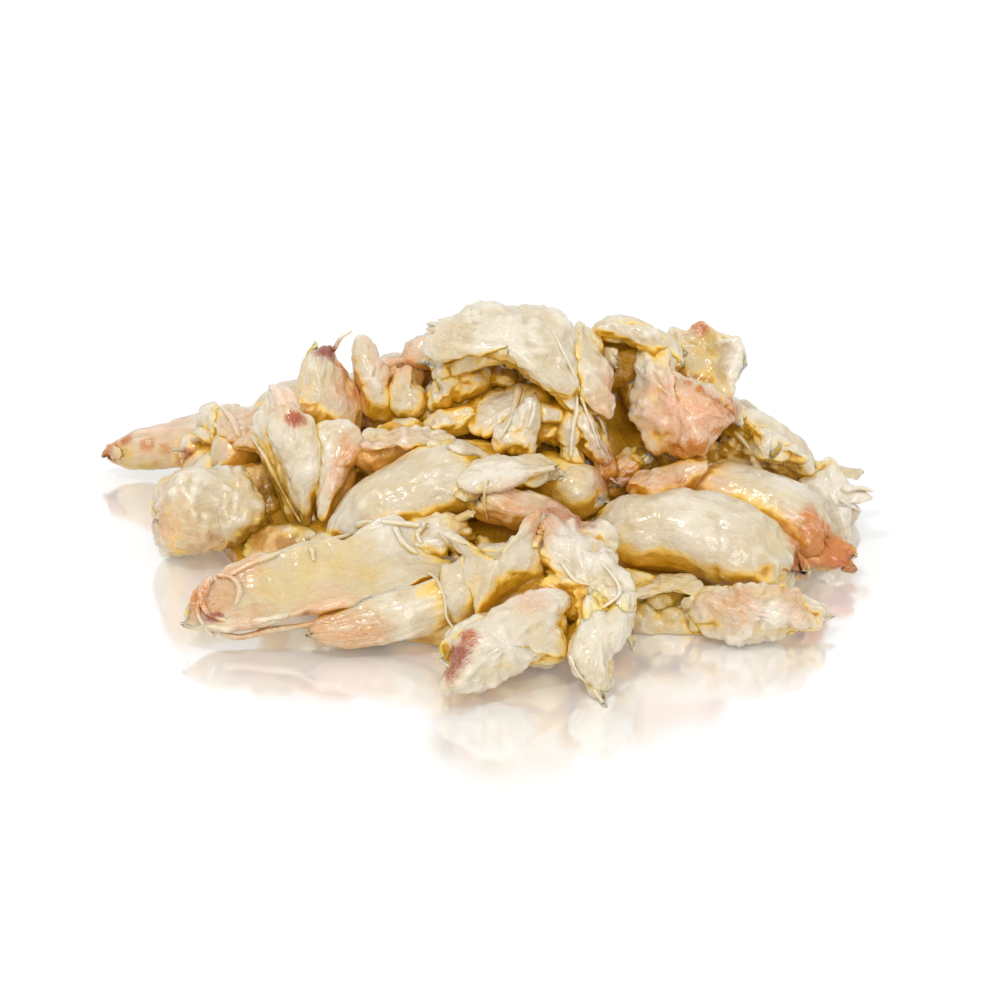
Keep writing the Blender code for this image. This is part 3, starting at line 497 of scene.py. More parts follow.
def loft_all(lofts, rings, sides, seed0):
    """All of the lofts at once: points (n, rings, sides, 3), normals and places in the grain,
    then how closed in each point is, for painted shade, how light it is, from its bundle's tone
    and painted light on raised places, how thin it is, and how thick its piece is.
    """
    count = len(lofts["start"])
    seed = (seed0 + np.arange(count))[:, None, None]

    def each(name, more=1):
        return lofts[name].reshape((count,) + (1,) * more)

    bundle = each("bundle", 2)
    girth = each("width") + each("thick")
    span = lofts["end"] - lofts["start"]
    length = np.linalg.norm(span, axis=1)
    along = span / length[:, None]
    outward = unit(lofts["out"] - along * np.sum(lofts["out"] * along, axis=1, keepdims=True))
    across = np.cross(outward, along)
    turn = np.radians(lofts["roll"])[:, None]
    face = outward * np.cos(turn) + across * np.sin(turn)
    side = np.cross(face, along)
    swing = even_swings(lofts, rings)
    step = (1.0 - blunted(np.cos(swing), 1.0 / each("blunt"))) / 2.0
    bow = 4.0 * step * (1.0 - step)
    run = step * length[:, None]
    face2, side2, along2 = face[:, None, :], side[:, None, :], along[:, None, :]
    spine = lofts["start"][:, None, :] + step[..., None] * span[:, None, :]
    spine = spine + (bow * each("arch"))[..., None] * face2 + (bow * each("sweep"))[..., None] * side2
    one = np.zeros_like(run)
    waver = np.minimum(0.06 * girth, 1.0)
    for vector, row in ((face2, 3.1), (side2, 7.7)):
        bend = smooth_noise(np.stack([run / 9.0, one + row, one], -1), seed[:, 0])
        spine = spine + (waver * bend)[..., None] * vector

    fade = (each("start_size") + (each("end_size") - each("start_size")) * step) * np.sin(swing)
    fade = fade * (1.0 + 0.07 * smooth_noise(np.stack([run / 7.0, one, one + 5.5], -1), seed[:, 0]))
    angle = 2.0 * np.pi * np.arange(sides)[None, :] / sides
    flat = blunted(np.cos(angle), each("square"))
    tall = blunted(np.sin(angle), each("square"))
    wide = (fade * each("width") / 2.0)[:, :, None] * flat[:, None, :]
    high = (fade * each("thick") / 2.0)[:, :, None] * tall[:, None, :]
    cupped = (each("cup") * fade * each("width") / 2.0)[:, :, None]
    high = high + cupped * (flat[:, None, :] ** 2 - 0.5)
    side3, face3, along3 = side2[:, :, None], face2[:, :, None], along2[:, :, None]
    points = spine[:, :, None, :] + wide[..., None] * side3 + high[..., None] * face3

    ring_angle = np.broadcast_to(angle[:, None, :], wide.shape)
    ring_run = np.broadcast_to(run[:, :, None], wide.shape)
    spread = np.where(each("bundle") > 0.4, fade, 1.0)[:, :, None]
    across_it = each("width", 2) / 2.0 * spread * flat[:, None, :]
    through_it = each("thick", 2) / 2.0 * spread * tall[:, None, :]
    around = np.stack([0 * across_it, across_it, through_it], -1)

    form = np.stack([ring_run / 11.0, 1.2 * np.cos(ring_angle), 1.2 * np.sin(ring_angle)], -1)
    form = (0.05 + 0.16 * np.minimum(bundle, 0.6)) * smooth_noise(form, seed)
    points = points + form[..., None] * (points - spine[:, :, None, :])

    edge = np.abs(np.cos(ring_angle)) ** 6
    thin = np.clip(1.6 - 2.0 * each("thick", 2) / each("width", 2), 0.0, 1.0)
    rim_pale = edge * thin * (0.6 + 0.4 * smooth_noise(around / 2.0 + 3.0, seed))
    near_start = np.exp(-ring_run / 4.0)
    near_end = np.exp(-(length[:, None, None] - ring_run) / 4.0)
    parted = around / 2.9
    split, tongues = bundles(parted + 11.0, seed)
    pull = each("torn_end", 2) * near_end * (tongues * split - 0.3 * (1.0 - split))
    parted[..., 0] += 40.0
    split, tongues = bundles(parted, seed)
    pull = pull - each("torn_start", 2) * near_start * (tongues * split - 0.3 * (1.0 - split))
    broken = np.minimum(2.0 * bundle, 1.0)
    for near, first in ((near_end, 1), (near_start, 3)):
        slope = across_it * lattice(np.stack([seed, seed * 0 + first, seed * 0], -1), 1)
        slope = slope + through_it * lattice(np.stack([seed, seed * 0 + first + 1, seed * 0], -1), 1)
        pull = pull + 0.6 * near * broken * slope
    points = points + pull[..., None] * along3
    rim = edge * each("frill", 2)
    run_place = np.stack([ring_run / 2.3, np.sign(np.cos(ring_angle)) * 3.0, 0 * wide], -1)
    points = points + (rim * smooth_noise(run_place, seed))[..., None] * side3
    points = points + (rim * smooth_noise(run_place * 0.7 + 5.0, seed))[..., None] * face3

    normals = grid_normals(points)
    lumps = layers(points, seed, (1.0, 6.5, 0.0), (0.55, 2.7, 9.0), (0.28, 1.3, 3.0))
    granules = np.abs(smooth_noise(points / 2.1 + 13.0, seed))
    lumps = lumps + 1.3 * np.maximum(each("lumps", 2) - 0.35, 0.0) * (granules - 0.3)
    strings = around.copy()
    strings[..., 0] = ring_run / 9.0
    strings[..., 1:] /= 1.3
    twist = np.stack([smooth_noise(points / 7.0 + k, seed) for k in (2.0, 20.0, 50.0)], -1)
    strings = strings + 0.5 * twist
    ridges = 1.0 - 2.0 * np.abs(smooth_noise(strings, seed))
    ridges = ridges + 0.5 * smooth_noise(strings * np.array([1.6, 2.2, 2.2]) + 4.0, seed)
    sticks = np.stack([ring_run / 8.0, around[..., 1] / 2.7, around[..., 2] / 2.7], -1)
    split, marks = bundles(sticks + 0.45 * twist, seed)
    gap = 1.0 - split
    raised = each("lumps", 2) * lumps * 0.8 + each("fibre", 2) * ridges
    raised = raised + bundle * (0.8 * marks * split - 0.6 * gap)
    dents = smooth_noise(points / 10.0 + 17.0, seed)
    crease = np.exp(-((smooth_noise(points / 6.0 + 31.0, seed) / 0.12) ** 2))
    raised = raised + (0.4 + 1.1 * bundle) * dents
    raised = raised - (0.1 + 0.5 * bundle) * crease
    folds = 1.0 - 2.0 * np.abs(smooth_noise(points / 3.4 + 8.0, seed))
    late = np.broadcast_to(step[:, :, None], wide.shape) ** 2
    raised = raised + each("wrinkle", 2) * late * folds
    points = points + raised[..., None] * normals
    points[..., 2] = above_table(points[..., 2])
    relief = np.clip((raised - raised.mean(axis=(1, 2), keepdims=True)) / 0.7, -1.0, 1.0)
    grain = around.copy()
    grain[..., 0] = ring_run / 6.0 + 37.0 * seed
    grain[..., 1:] += 1.4 * twist[..., 1:]
    # Gaps between bundles, creases and sunken places get painted shade.
    gap = np.maximum(gap, 0.8 * crease) * broken
    gap = np.clip(gap * 0.5 - relief, 0.0, 1.0)
    # Each bundle's own tone, and painted light that makes raised places whiter.
    marks = np.clip(0.4 * marks * broken + relief, -1.0, 1.0)
    body = np.broadcast_to((fade * girth / 4.0)[..., None], gap.shape)
    return points, grid_normals(points), grain, gap, marks, rim_pale, np.clip(body / 2.2, 0.15, 1.0)


def above_table(heights):
    """Heights near and under the table, pressed together just above it."""
    return np.where(heights > 0.8, heights, 0.8 * np.exp((heights - 0.8) / 0.8))


def grid_normals(points):
    """Normals of closed grids, pointing out."""
    down = np.gradient(points, axis=1)
    round_ = (np.roll(points, -1, axis=2) - np.roll(points, 1, axis=2)) / 2.0
    return unit(np.cross(round_, down))


def grid_quads(rings, sides):
    ring = np.arange(rings - 1)[:, None] * sides
    spot = np.arange(sides)[None, :]
    after = (spot + 1) % sides
    quads = np.stack([ring + spot, ring + after, ring + sides + after, ring + sides + spot], -1)
    return quads.reshape(-1, 4)


class Batch:
    """Closed grids of one fineness, as one mesh. The two ends are closed by a point each."""

    def __init__(self, points, normals, grain, gap=None, mark=None, rim=None, body=None):
        self.count, self.rings, self.sides = points.shape[:3]
        nothing = np.zeros(points.shape[:3])
        self.gap = self.with_tips(nothing if gap is None else gap).reshape(-1)
        self.mark = self.with_tips(nothing if mark is None else mark).reshape(-1)
        self.rim = self.with_tips(nothing if rim is None else rim).reshape(-1)
        self.body = self.with_tips(nothing + 1.0 if body is None else body).reshape(-1)
        self.points = self.with_tips(points)
        self.normals = self.with_tips(normals)
        self.normals[:, -2:] = unit(self.normals[:, -2:])
        self.grain = self.with_tips(grain)

    def with_tips(self, values):
        """The values of each grid, then their means at its two ends."""
        tips = np.stack([values[:, 0].mean(1), values[:, -1].mean(1)], 1)
        return np.concatenate([values.reshape(self.count, -1, *values.shape[3:]), tips], 1)

    def faces(self):
        """Quads, and triangles at the ends with their last corner repeated."""
        size = self.rings * self.sides
        spot = np.arange(self.sides)
        after = (spot + 1) % self.sides
        first = np.stack([0 * spot + size, after, spot, spot], -1)
        base = (self.rings - 1) * self.sides
        last = np.stack([0 * spot + size + 1, base + spot, base + after, base + after], -1)
        one = np.concatenate([grid_quads(self.rings, self.sides), first, last])
        step = (np.arange(self.count) * (size + 2))[:, None, None]
        return (one[None] + step).reshape(-1, 4)


def tree_of(batches):
    """A search tree over the batches."""
    points = []
    faces = []
    base = 0
    for batch in batches:
        flat = batch.points.reshape(-1, 3)
        points.append(flat)
        faces.append(batch.faces() + base)
        base += len(flat)
    quads = np.concatenate(faces)
    triangles = np.concatenate([quads[:, [0, 1, 2]], quads[quads[:, 2] != quads[:, 3]][:, [0, 2, 3]]])
    return BVHTree.FromPolygons(np.concatenate(points).tolist(), triangles.tolist())


# ---------------------------------------------------------------- rows by rule


def back_rows():
    draw = random.Random(BACK_SEED)
    rows = []
    for height, reach, count, first, last, lean_most in BACK_RINGS:
        for number in range(count):
            share = (number + draw.uniform(0.3, 0.7)) / count
            turn = math.radians(first + (last - first) * share)
            right = BACK_CENTRE[0] + reach[0] * math.cos(turn)
            middle = np.array([right, BACK_CENTRE[1] + reach[1] * math.sin(turn), height])
            lean = turn + math.pi / 2.0 + math.radians(draw.uniform(-lean_most, lean_most))
            pitch = math.radians(draw.uniform(-22.0, 22.0)) * min(1.0, height / 15.0)
            length = draw.uniform(22.0, 36.0)
            level = math.cos(pitch)
            way = (math.cos(lean) * level, math.sin(lean) * level * 0.8, math.sin(pitch))
            half = 0.5 * length * np.array(way)
            kind = draw.choice(BACK_KINDS)
            width = draw.uniform(12.0, 18.0)
            thick = width * draw.uniform(0.7, 0.85)
            arch = draw.uniform(0.0, 3.0)
            sweep = draw.uniform(-2.0, 2.0)
            roll = draw.uniform(-20.0, 20.0)
            rows.append((kind, middle - half, middle + half, width, thick, arch, sweep, roll))
    return rows


def mounds():
    """The core, in the gaps between the pieces."""
    rings, sides = CORE_GRID
    rise = np.radians(-6.0 + 94.0 * np.arange(rings) / rings)[:, None]
    turn = (2.0 * np.pi * np.arange(sides) / sides)[None, :]
    level = np.cos(rise)
    ball = np.stack([level * np.cos(turn), level * np.sin(turn), np.sin(rise) + 0 * turn], -1)
    points = []
    for number, (centre, axes) in enumerate(CORE_MOUNDS):
        place = ball * np.array(axes) * 0.96
        bumps = layers(place, number, (1.6, 9.0, 0.0), (0.9, 3.5, 0.0))
        place = place + ball * bumps[..., None] + np.array([*centre, 0.0])
        place[..., 2] = above_table(place[..., 2])
        points.append(place)
    points = np.array(points)
    return Batch(points, grid_normals(points), points * 0.6)


def three(draw):
    return np.array([draw.gauss(0.0, 1.0) for _ in range(3)])


def meets(tree, place, way, far):
    return tree.ray_cast(Vector(place), Vector(way), far)[0] is not None


def covered(tree, place, normal, lean, far):
    """Whether something lies over a place, looking up and outward from it."""
    return meets(tree, place + normal * 0.4, unit(normal + lean * out_of_heap(place)), far)


def loose_rows(draw, batch, lofts, names, tree, amount):
    """Flakes that lie on the pieces, and the way out of the heap under each of them."""
    rows = []
    outs = []
    for i in range(batch.count):
        along = unit(lofts["end"][i] - lofts["start"][i])
        length = np.linalg.norm(lofts["end"][i] - lofts["start"][i])
        area = length * (lofts["width"][i] + lofts["thick"][i]) / 200.0
        count = int(round(amount * area * lofts["shag"][i] * SHAG.get(names[i], 1.0)))
        size = batch.rings * batch.sides
        for _ in range(count):
            spot = draw.randrange(size)
            place = batch.points[i, spot]
            normal = batch.normals[i, spot]
            if normal[2] < -0.3 or place[2] < 1.0 or covered(tree, place, normal, 0.6, 6.0):
                continue
            lean = math.radians(draw.gauss(0.0, 35.0))
            level = unit(along - normal * (along @ normal))
            cross = np.cross(normal, level)
            way = level * math.cos(lean) + cross * math.sin(lean)
            if draw.random() < 0.5:
                way = -way
            way = unit(way + normal * draw.uniform(-0.08, 0.16))
            reach = draw.uniform(5.0, 11.0)
            width = draw.uniform(2.4, 5.5)
            start = place - normal * draw.uniform(0.2, 0.7) - way * reach * draw.uniform(0.3, 0.5)
            thick = draw.uniform(1.4, 2.6)
            end = start + way * reach
            if not all(meets(tree, tip + normal * 1.5, -normal, 4.0) for tip in (end, start)):
                continue
            arch = draw.uniform(0.0, 0.8)
            sweep = draw.uniform(-1.4, 1.4)
            rows.append(("sheet", start, end, width, thick, arch, sweep, draw.uniform(-14.0, 14.0)))
            outs.append(normal)
    return rows, np.array(outs).reshape(-1, 3)


def tongue_rows(draw, lofts, amount):
    """Torn fibres at the ends of the pieces."""
    rows = []
    for i in range(len(lofts["start"])):
        for place, way, torn in (
            (lofts["start"][i], lofts["start"][i] - lofts["end"][i], lofts["torn_start"][i]),
            (lofts["end"][i], lofts["end"][i] - lofts["start"][i], lofts["torn_end"][i]),
        ):
            if torn < 1.3:
                continue
            way = unit(way)
            girth = (lofts["width"][i] + lofts["thick"][i]) / 4.0
            for _ in range(int(round(amount * torn))):
                off = three(draw)
                off = unit(off - way * (off @ way)) * girth * draw.uniform(0.2, 0.8)
                start = place - way * draw.uniform(2.0, 4.0) + off
                go = unit(way + unit(off) * draw.uniform(-0.2, 0.5))
                reach = draw.uniform(3.0, 6.5)
                end = start + go * reach
                if end[2] < 0.5:
                    continue
                width = draw.uniform(1.4, 4.0)
                thick = draw.uniform(0.7, 1.4)
                arch = draw.uniform(-0.6, 0.6)
                sweep = draw.uniform(-0.8, 0.8)
                rows.append(("sheet", start, end, width, thick, arch, sweep, draw.uniform(0, 180)))
    return rows


# ---------------------------------------------------------------- strands


def between(a, b, c, d, t):
    """A smooth way from b to c, with a before and d after them."""
    return 0.5 * (
        2 * b + (c - a) * t + (2 * a - 5 * b + 4 * c - d) * t**2 + (3 * b - a - 3 * c + d) * t**3
    )


def curve_through(stops, count):
    """Evenly spaced points on a smooth curve through the stops."""
    stops = np.array(stops, float).reshape(-1, 2)
    ends = np.concatenate([[2 * stops[0] - stops[1]], stops, [2 * stops[-1] - stops[-2]]])
    places = np.linspace(0.0, len(stops) - 1.0, count)
    made = []
    for place in places:
        i = min(int(place), len(stops) - 2)
        t = place - i
        made.append(between(*ends[i : i + 4], t))
    return np.array(made)


def tubes(paths, radii, seed0, sides=6):
    """Thin tapered strands along paths (n, rings, 3)."""
    paths = np.array(paths)
    count, rings = paths.shape[:2]
    radii = np.array(radii)
    along = unit(np.gradient(paths, axis=1))
    spare = unit(np.array([0.31, 0.52, 0.79]))
    side = unit(np.cross(along, spare))
    face = np.cross(along, side)
    step = np.linspace(0.0, 1.0, rings)
    size = radii[:, :1] + (radii[:, 1:] - radii[:, :1]) * step[None]
    close = np.sqrt(np.clip(1.0 - np.abs(2.0 * step - 1.0) ** 14, 0.02, 1.0))
    seed = (seed0 + np.arange(count))[:, None]
    place = np.stack([np.broadcast_to(step * 6.0, (count, rings)), 0 * size, 0 * size], -1)
    size = size * close * (1.0 + 0.35 * smooth_noise(place, seed))
    angle = 2.0 * np.pi * np.arange(sides) / sides
    flatten = 0.65
    points = (
        paths[:, :, None]
        + (size[..., None] * np.cos(angle))[..., None] * side[:, :, None]
        + (size[..., None] * np.sin(angle) * flatten)[..., None] * face[:, :, None]
    )
    points[..., 2] = above_table(points[..., 2])
    return Batch(points, grid_normals(points), points * 0.5)


class Eye:
    """What is seen at a place in the view from the front."""

    def __init__(self, tree):
        self.tree = tree
        ahead = np.array([0.0, math.cos(VIEW_RISE), -math.sin(VIEW_RISE)])
        self.up = np.array([0.0, math.sin(VIEW_RISE), math.cos(VIEW_RISE)])
        self.place = VIEW_TARGET - ahead * VIEW_DISTANCE

    def ways(self, flat):
        aim = VIEW_TARGET + flat[..., :1] * RIGHT + flat[..., 1:] * self.up
        return unit(aim - self.place)

    def depth(self, right, up):
        way = self.ways(np.array([right, up]))
        hit = self.tree.ray_cast(Vector(self.place), Vector(way))
        return None if hit[0] is None else hit[3]

    def at(self, right, up, depth):
        return self.place + self.ways(np.array([right, up])) * depth


def closed_curve(stops, count):
    """Evenly spaced points on a smooth closed curve through the stops."""
    stops = np.array(stops, float).reshape(-1, 2)
    made = []
    for i in range(len(stops)):
        near = [stops[(i + k) % len(stops)] for k in (-1, 0, 1, 2)]
        made += [between(*near, t) for t in np.arange(12) / 12.0]
    made = np.array(made + made[:1])
    walk = np.concatenate([[0.0], np.cumsum(np.linalg.norm(np.diff(made, axis=0), axis=1))])
    wanted = walk[-1] * np.arange(count) / count
    return np.stack([np.interp(wanted, walk, made[:, k]) for k in (0, 1)], -1)


def plates(eye, rings, sides):
    """The broad flakes: a face, a rim and a hidden back."""
    points = []
    grains = []
    rims = []
    out = np.sin(np.linspace(0.05, 1.0, rings) * np.pi / 2.0)
    reach = np.concatenate([out, out[::-1][1:]])
    front = np.concatenate([np.ones(rings), -np.ones(rings - 1)])
    for number, (name, row) in enumerate(PLATES.items()):
        thick, lift, bulge, lumps, way, stops = row
        outline = closed_curve(stops, sides)
        centre = outline.mean(0)
        ray = unit(outline - centre)
        place = np.concatenate([outline, np.full((sides, 1), float(number))], 1)
        rough = layers(place, number, (0.7, 2.8, 0.0), (0.4, 1.2, 0.0))
        outline = outline + ray * ((0.35 + 0.6 * lumps) * rough)[:, None]
        flat = centre + (outline - centre)[None] * reach[:, None, None]
        if lift is None:
            depth = np.full(flat.shape[:2], FREE_DEPTH[name])
        else:
            tries = [centre]
            for share in (0.45, 0.8):
                tries += [centre + (edge - centre) * share for edge in outline[::5]]
            found = [(x, y, eye.depth(x, y)) for x, y in tries]
            found = np.array([spot for spot in found if spot[2] is not None])
            middle = np.median(found[:, 2])
            found = found[np.abs(found[:, 2] - middle) < 7.0]
            table = np.stack([found[:, 0], found[:, 1], np.ones(len(found))], -1)
            fit = np.linalg.lstsq(table, found[:, 2], rcond=None)[0]
            depth = flat[..., 0] * fit[0] + flat[..., 1] * fit[1] + fit[2] - lift
        body = np.sqrt(np.clip(1.0 - reach**4, 0.0, 1.0)) * front * thick / 2.0
        depth = depth - (body + bulge * (1.0 - reach**2) - bulge / 2.0)[:, None]
        points.append(eye.place + eye.ways(flat) * depth[..., None])
        turn = math.radians(way)
        along = flat[..., 0] * math.cos(turn) + flat[..., 1] * math.sin(turn)
        across = flat[..., 1] * math.cos(turn) - flat[..., 0] * math.sin(turn)
        grains.append(np.stack([along / 6.0 + 30.0 * number, across, depth - depth.mean()], -1))
        rims.append(np.broadcast_to(0.7 * (reach**8)[:, None], flat.shape[:2]))
    points = np.array(points)
    grains = np.array(grains)
    deeps = np.array([row[3] for row in PLATES.values()])[:, None, None]
    seed = np.arange(len(points))[:, None, None] + 40
    normals = grid_normals(points)
    sizes = (1.2, 7.0, 60.0), (1.0, 4.0, 0.0), (0.5, 2.2, 3.0), (0.25, 1.2, 5.0)
    rough = layers(points, seed, *sizes)
    rough = rough + 0.9 * (np.abs(smooth_noise(points / 2.1 + 13.0, seed)) - 0.3)
    ridges = 1.0 - 2.0 * np.abs(smooth_noise(grains * np.array([0.8, 0.6, 0.6]), seed))
    crease = np.exp(-((smooth_noise(points / 5.0 + 31.0, seed) / 0.12) ** 2))
    raised = deeps * (rough + 0.35 * ridges - 0.7 * crease)
    points = points + raised[..., None] * normals
    points[..., 2] = above_table(points[..., 2])
    relief = np.clip((raised - raised.mean(axis=(1, 2), keepdims=True)) / 0.7, -1.0, 1.0)
    # Sunken places get painted shade, and raised places, given as marks, get painted light.
    shade_amount = np.clip(-relief, 0.0, 1.0)
    return Batch(points, grid_normals(points), grains, shade_amount, relief, np.array(rims))


def strand_paths(eye):
    """The strands of the table, laid on what is behind them."""
    paths = []
    radii = []
    for thick, thin, lift, stops in STRANDS:
        flat = curve_through(stops, 24)
        depths = [eye.depth(right, up) for right, up in flat]
        known = sorted(depth for depth in depths if depth is not None)
        if not known:
            continue
        middle = known[len(known) // 2]
        kept = []
        for depth in depths:
            before = kept[-1] if kept else middle
            kept.append(before if depth is None or abs(depth - middle) > 14.0 else depth)
        kept = np.array(kept)
        for _ in range(3):
            kept = np.convolve(np.pad(kept, 2, "edge"), np.full(5, 0.2), "valid")
        rise = lift * np.sin(np.linspace(0.0, np.pi, len(flat))) ** 0.4 - 0.5 * thin
        line = [eye.at(right, up, gap) for (right, up), gap in zip(flat, kept - rise)]
        paths.append(np.array(line))
        radii.append((thick, thin))
    return paths, radii


def fringe_paths(draw, batch, lofts, names, tree, amount):
    """Fine fibres that stand out of the pieces and out of their torn ends."""
    paths = []
    radii = []
    for i in range(batch.count):
        along = unit(lofts["end"][i] - lofts["start"][i])
        shag = lofts["shag"][i] * SHAG.get(names[i], 1.0)
        for _ in range(int(round(amount * (0.5 + 0.5 * shag)))):
            anywhere = draw.randrange(batch.rings)
            early = draw.randrange(5)
            ring = draw.choice((anywhere, early, batch.rings - 1 - draw.randrange(5)))
            spot = ring * batch.sides + draw.randrange(batch.sides)
            place = batch.points[i, spot]
            normal = batch.normals[i, spot]
            if normal[2] < -0.4 or place[2] < 1.0 or covered(tree, place, normal, 0.4, 5.0):
                continue
            stand = draw.choice((0.0, 0.02, 0.05, 0.15))
            way = along * draw.choice((-1.0, 1.0))
            way = way + 0.5 * three(draw)
            way = unit(unit(way - normal * (way @ normal)) + normal * stand)
            reach = draw.uniform(2.0, 5.0)
            curl = unit(three(draw))
            step = np.linspace(0.0, 1.0, 10)[:, None]
            line = place + normal * 0.05 + way * step * reach + curl * step**2 * reach * 0.3
            line[:, 2] -= (step[:, 0] ** 2) * reach * 0.2
            line[:, 2] = np.maximum(line[:, 2], 0.2)
            paths.append(line)
            radii.append((draw.uniform(0.2, 0.45), draw.uniform(0.08, 0.16)))
    return paths, radii


# ---------------------------------------------------------------- tints and painted shade


def near_spot(places, spot, seed):
    """Which places are near a spot, and how strongly each of them takes its tint."""
    centre, radius, strength = spot
    near = np.abs(places - centre).max(axis=1) < radius * 1.5
    close = places[near]
    gap = np.linalg.norm(close - centre, axis=-1) / radius
    gap = gap + 0.28 * smooth_noise(close / 1.8, seed) + 0.15 * smooth_noise(close / 0.7, seed)
    return near, np.clip((1.15 - gap) / 0.75, 0.0, 1.0) * strength


def tint(batches, eye, draw, back_lofts):
    """Blush, hue, painted shade and pale amounts for every point of the batches."""
    spots = []
    for right, up, radius, hue, strength in BLUSHES:
        depth = eye.depth(right, up)
        if depth is None:
            depth = eye.depth(right, up - 1.5) or eye.depth(right, up + 1.5)
        if depth is not None:
            spots.append((hue, (eye.at(right, up, depth), radius, strength)))
    for i in range(len(back_lofts["start"])):
        if draw.random() < 0.55:
            end = back_lofts["start"][i] if draw.random() < 0.5 else back_lofts["end"][i]
            if end[1] > 12.0:
                radius = draw.uniform(4.0, 9.0)
                hue = draw.choice((0.3, 0.45, 0.5, 0.7))
                spots.append((hue, (end, radius, draw.uniform(0.4, 0.9))))
    # Spots of painted shade, and pale spots.
    deeps = []
    pales = []
    for table, made in ((SHADE_SPOTS, deeps), (PALE, pales)):
        for right, up, radius, strength in table:
            depth = eye.depth(right, up)
            if depth is not None:
                made.append((eye.at(right, up, depth), radius, strength))
    for batch in batches:
        flat = batch.points.reshape(-1, 3)
        batch.blush, hue, batch.deep, batch.pale = np.zeros((4, len(flat)))
        total = np.full(len(flat), 1e-6)
        for number, (tone, spot) in enumerate(spots):
            near, weight = near_spot(flat, spot, number)
            batch.blush[near] = np.maximum(batch.blush[near], weight)
            hue[near] += weight * tone
            total[near] += weight
        for kept, made in ((batch.deep, deeps), (batch.pale, pales)):
            for number, spot in enumerate(made):
                near, weight = near_spot(flat, spot, 70 + number)
                kept[near] = np.maximum(kept[near], weight)
        batch.hue = hue / total
        batch.pale = np.maximum(batch.pale, batch.rim)


def hemisphere(count):
    """Directions spread over a hemisphere, more of them near its pole."""
    made = []
    for i in range(count):
        rise = math.sqrt((i + 0.5) / count)
        turn = i * GOLDEN_TURN
        made.append((rise * math.cos(turn), rise * math.sin(turn), math.sqrt(1.0 - rise * rise)))
    return np.array(made)


def fold_amounts(batch, tree, rays, far):
    """How much painted shade each point takes: how closed in it is, from 0 in the open to 1 deep in a
    hollow, smoothed over its grid, more where it faces down, and less where its piece is thin.
    """
    flat = batch.points.reshape(-1, 3)
    normals = batch.normals.reshape(-1, 3)
    spare = np.where(np.abs(normals[:, 2:]) < 0.9, np.array([[0.0, 0.0, 1.0]]), RIGHT[None])
    side = unit(np.cross(normals, spare))
    face = np.cross(normals, side)
    shade_amount = np.zeros(len(flat))
    starts = (flat + normals * 0.25).tolist()
    cast = tree.ray_cast
    for a, b, c in hemisphere(rays):
        ways = (side * a + face * b + normals * c).tolist()
        for i, (start, way) in enumerate(zip(starts, ways)):
            hit = cast(start, way, far)[3]
            if hit is not None:
                shade_amount[i] += 1.0 - 0.6 * hit / far
    shade_amount = shade_amount / rays
    body = shade_amount.reshape(batch.count, -1)
    size = batch.rings * batch.sides
    grid = body[:, :size].reshape(batch.count, batch.rings, batch.sides)
    for _ in range(max(2, batch.sides // 9)):
        grid = (grid + np.roll(grid, 1, 2) + np.roll(grid, -1, 2)) / 3.0
        grid[:, 1:-1] = (grid[:, 1:-1] + grid[:, :-2] + grid[:, 2:]) / 3.0
    body[:, :size] = grid.reshape(batch.count, -1)
    # Faces turned downward get extra painted shade.
    under = np.clip((0.35 - normals[:, 2]) / 1.1, 0.0, 1.0)
    batch.fold = (body.reshape(-1) + 0.3 * under) * batch.body


# ---------------------------------------------------------------- objects


def add_object(name, data):
    made = bpy.data.objects.new(name, data)
    bpy.context.scene.collection.objects.link(made)
    return made


def make_object(name, batch, material):
    mesh = bpy.data.meshes.new(name)
    flat = batch.points.reshape(-1, 3)
    quads = batch.faces()
    triangles = quads[:, 2] == quads[:, 3]
    sizes = np.where(triangles, 3, 4)
    used = np.stack([np.ones_like(triangles)] * 3 + [~triangles], -1)
    corners = quads.reshape(-1)[used.reshape(-1)]
    mesh.vertices.add(len(flat))
    mesh.vertices.foreach_set("co", ((flat + SHIFT) * MM).reshape(-1))
    mesh.loops.add(len(corners))
    mesh.loops.foreach_set("vertex_index", corners.astype(np.int32))
    mesh.polygons.add(len(quads))
    starts = np.concatenate([[0], np.cumsum(sizes)[:-1]])
    mesh.polygons.foreach_set("loop_start", starts.astype(np.int32))
    mesh.polygons.foreach_set("loop_total", sizes.astype(np.int32))
    mesh.update(calc_edges=True)
    mesh.validate()
    mesh.shade_smooth()
    # The closed-in amount, the shade spots and the gaps carry painted shade; the marks carry each bundle's
    # tone and painted light on raised places.
    for kind in ("blush", "hue", "fold", "deep", "pale", "mark", "gap"):
        values = mesh.attributes.new(kind, "FLOAT", "POINT")
        values.data.foreach_set("value", getattr(batch, kind))
    grain = mesh.attributes.new("grain", "FLOAT_VECTOR", "POINT")
    grain.data.foreach_set("vector", batch.grain.reshape(-1))
    mesh.materials.append(material)
    made = add_object(name, mesh)
    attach(made, "root")
    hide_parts("crab_meat")
    return made


# ---------------------------------------------------------------- materials


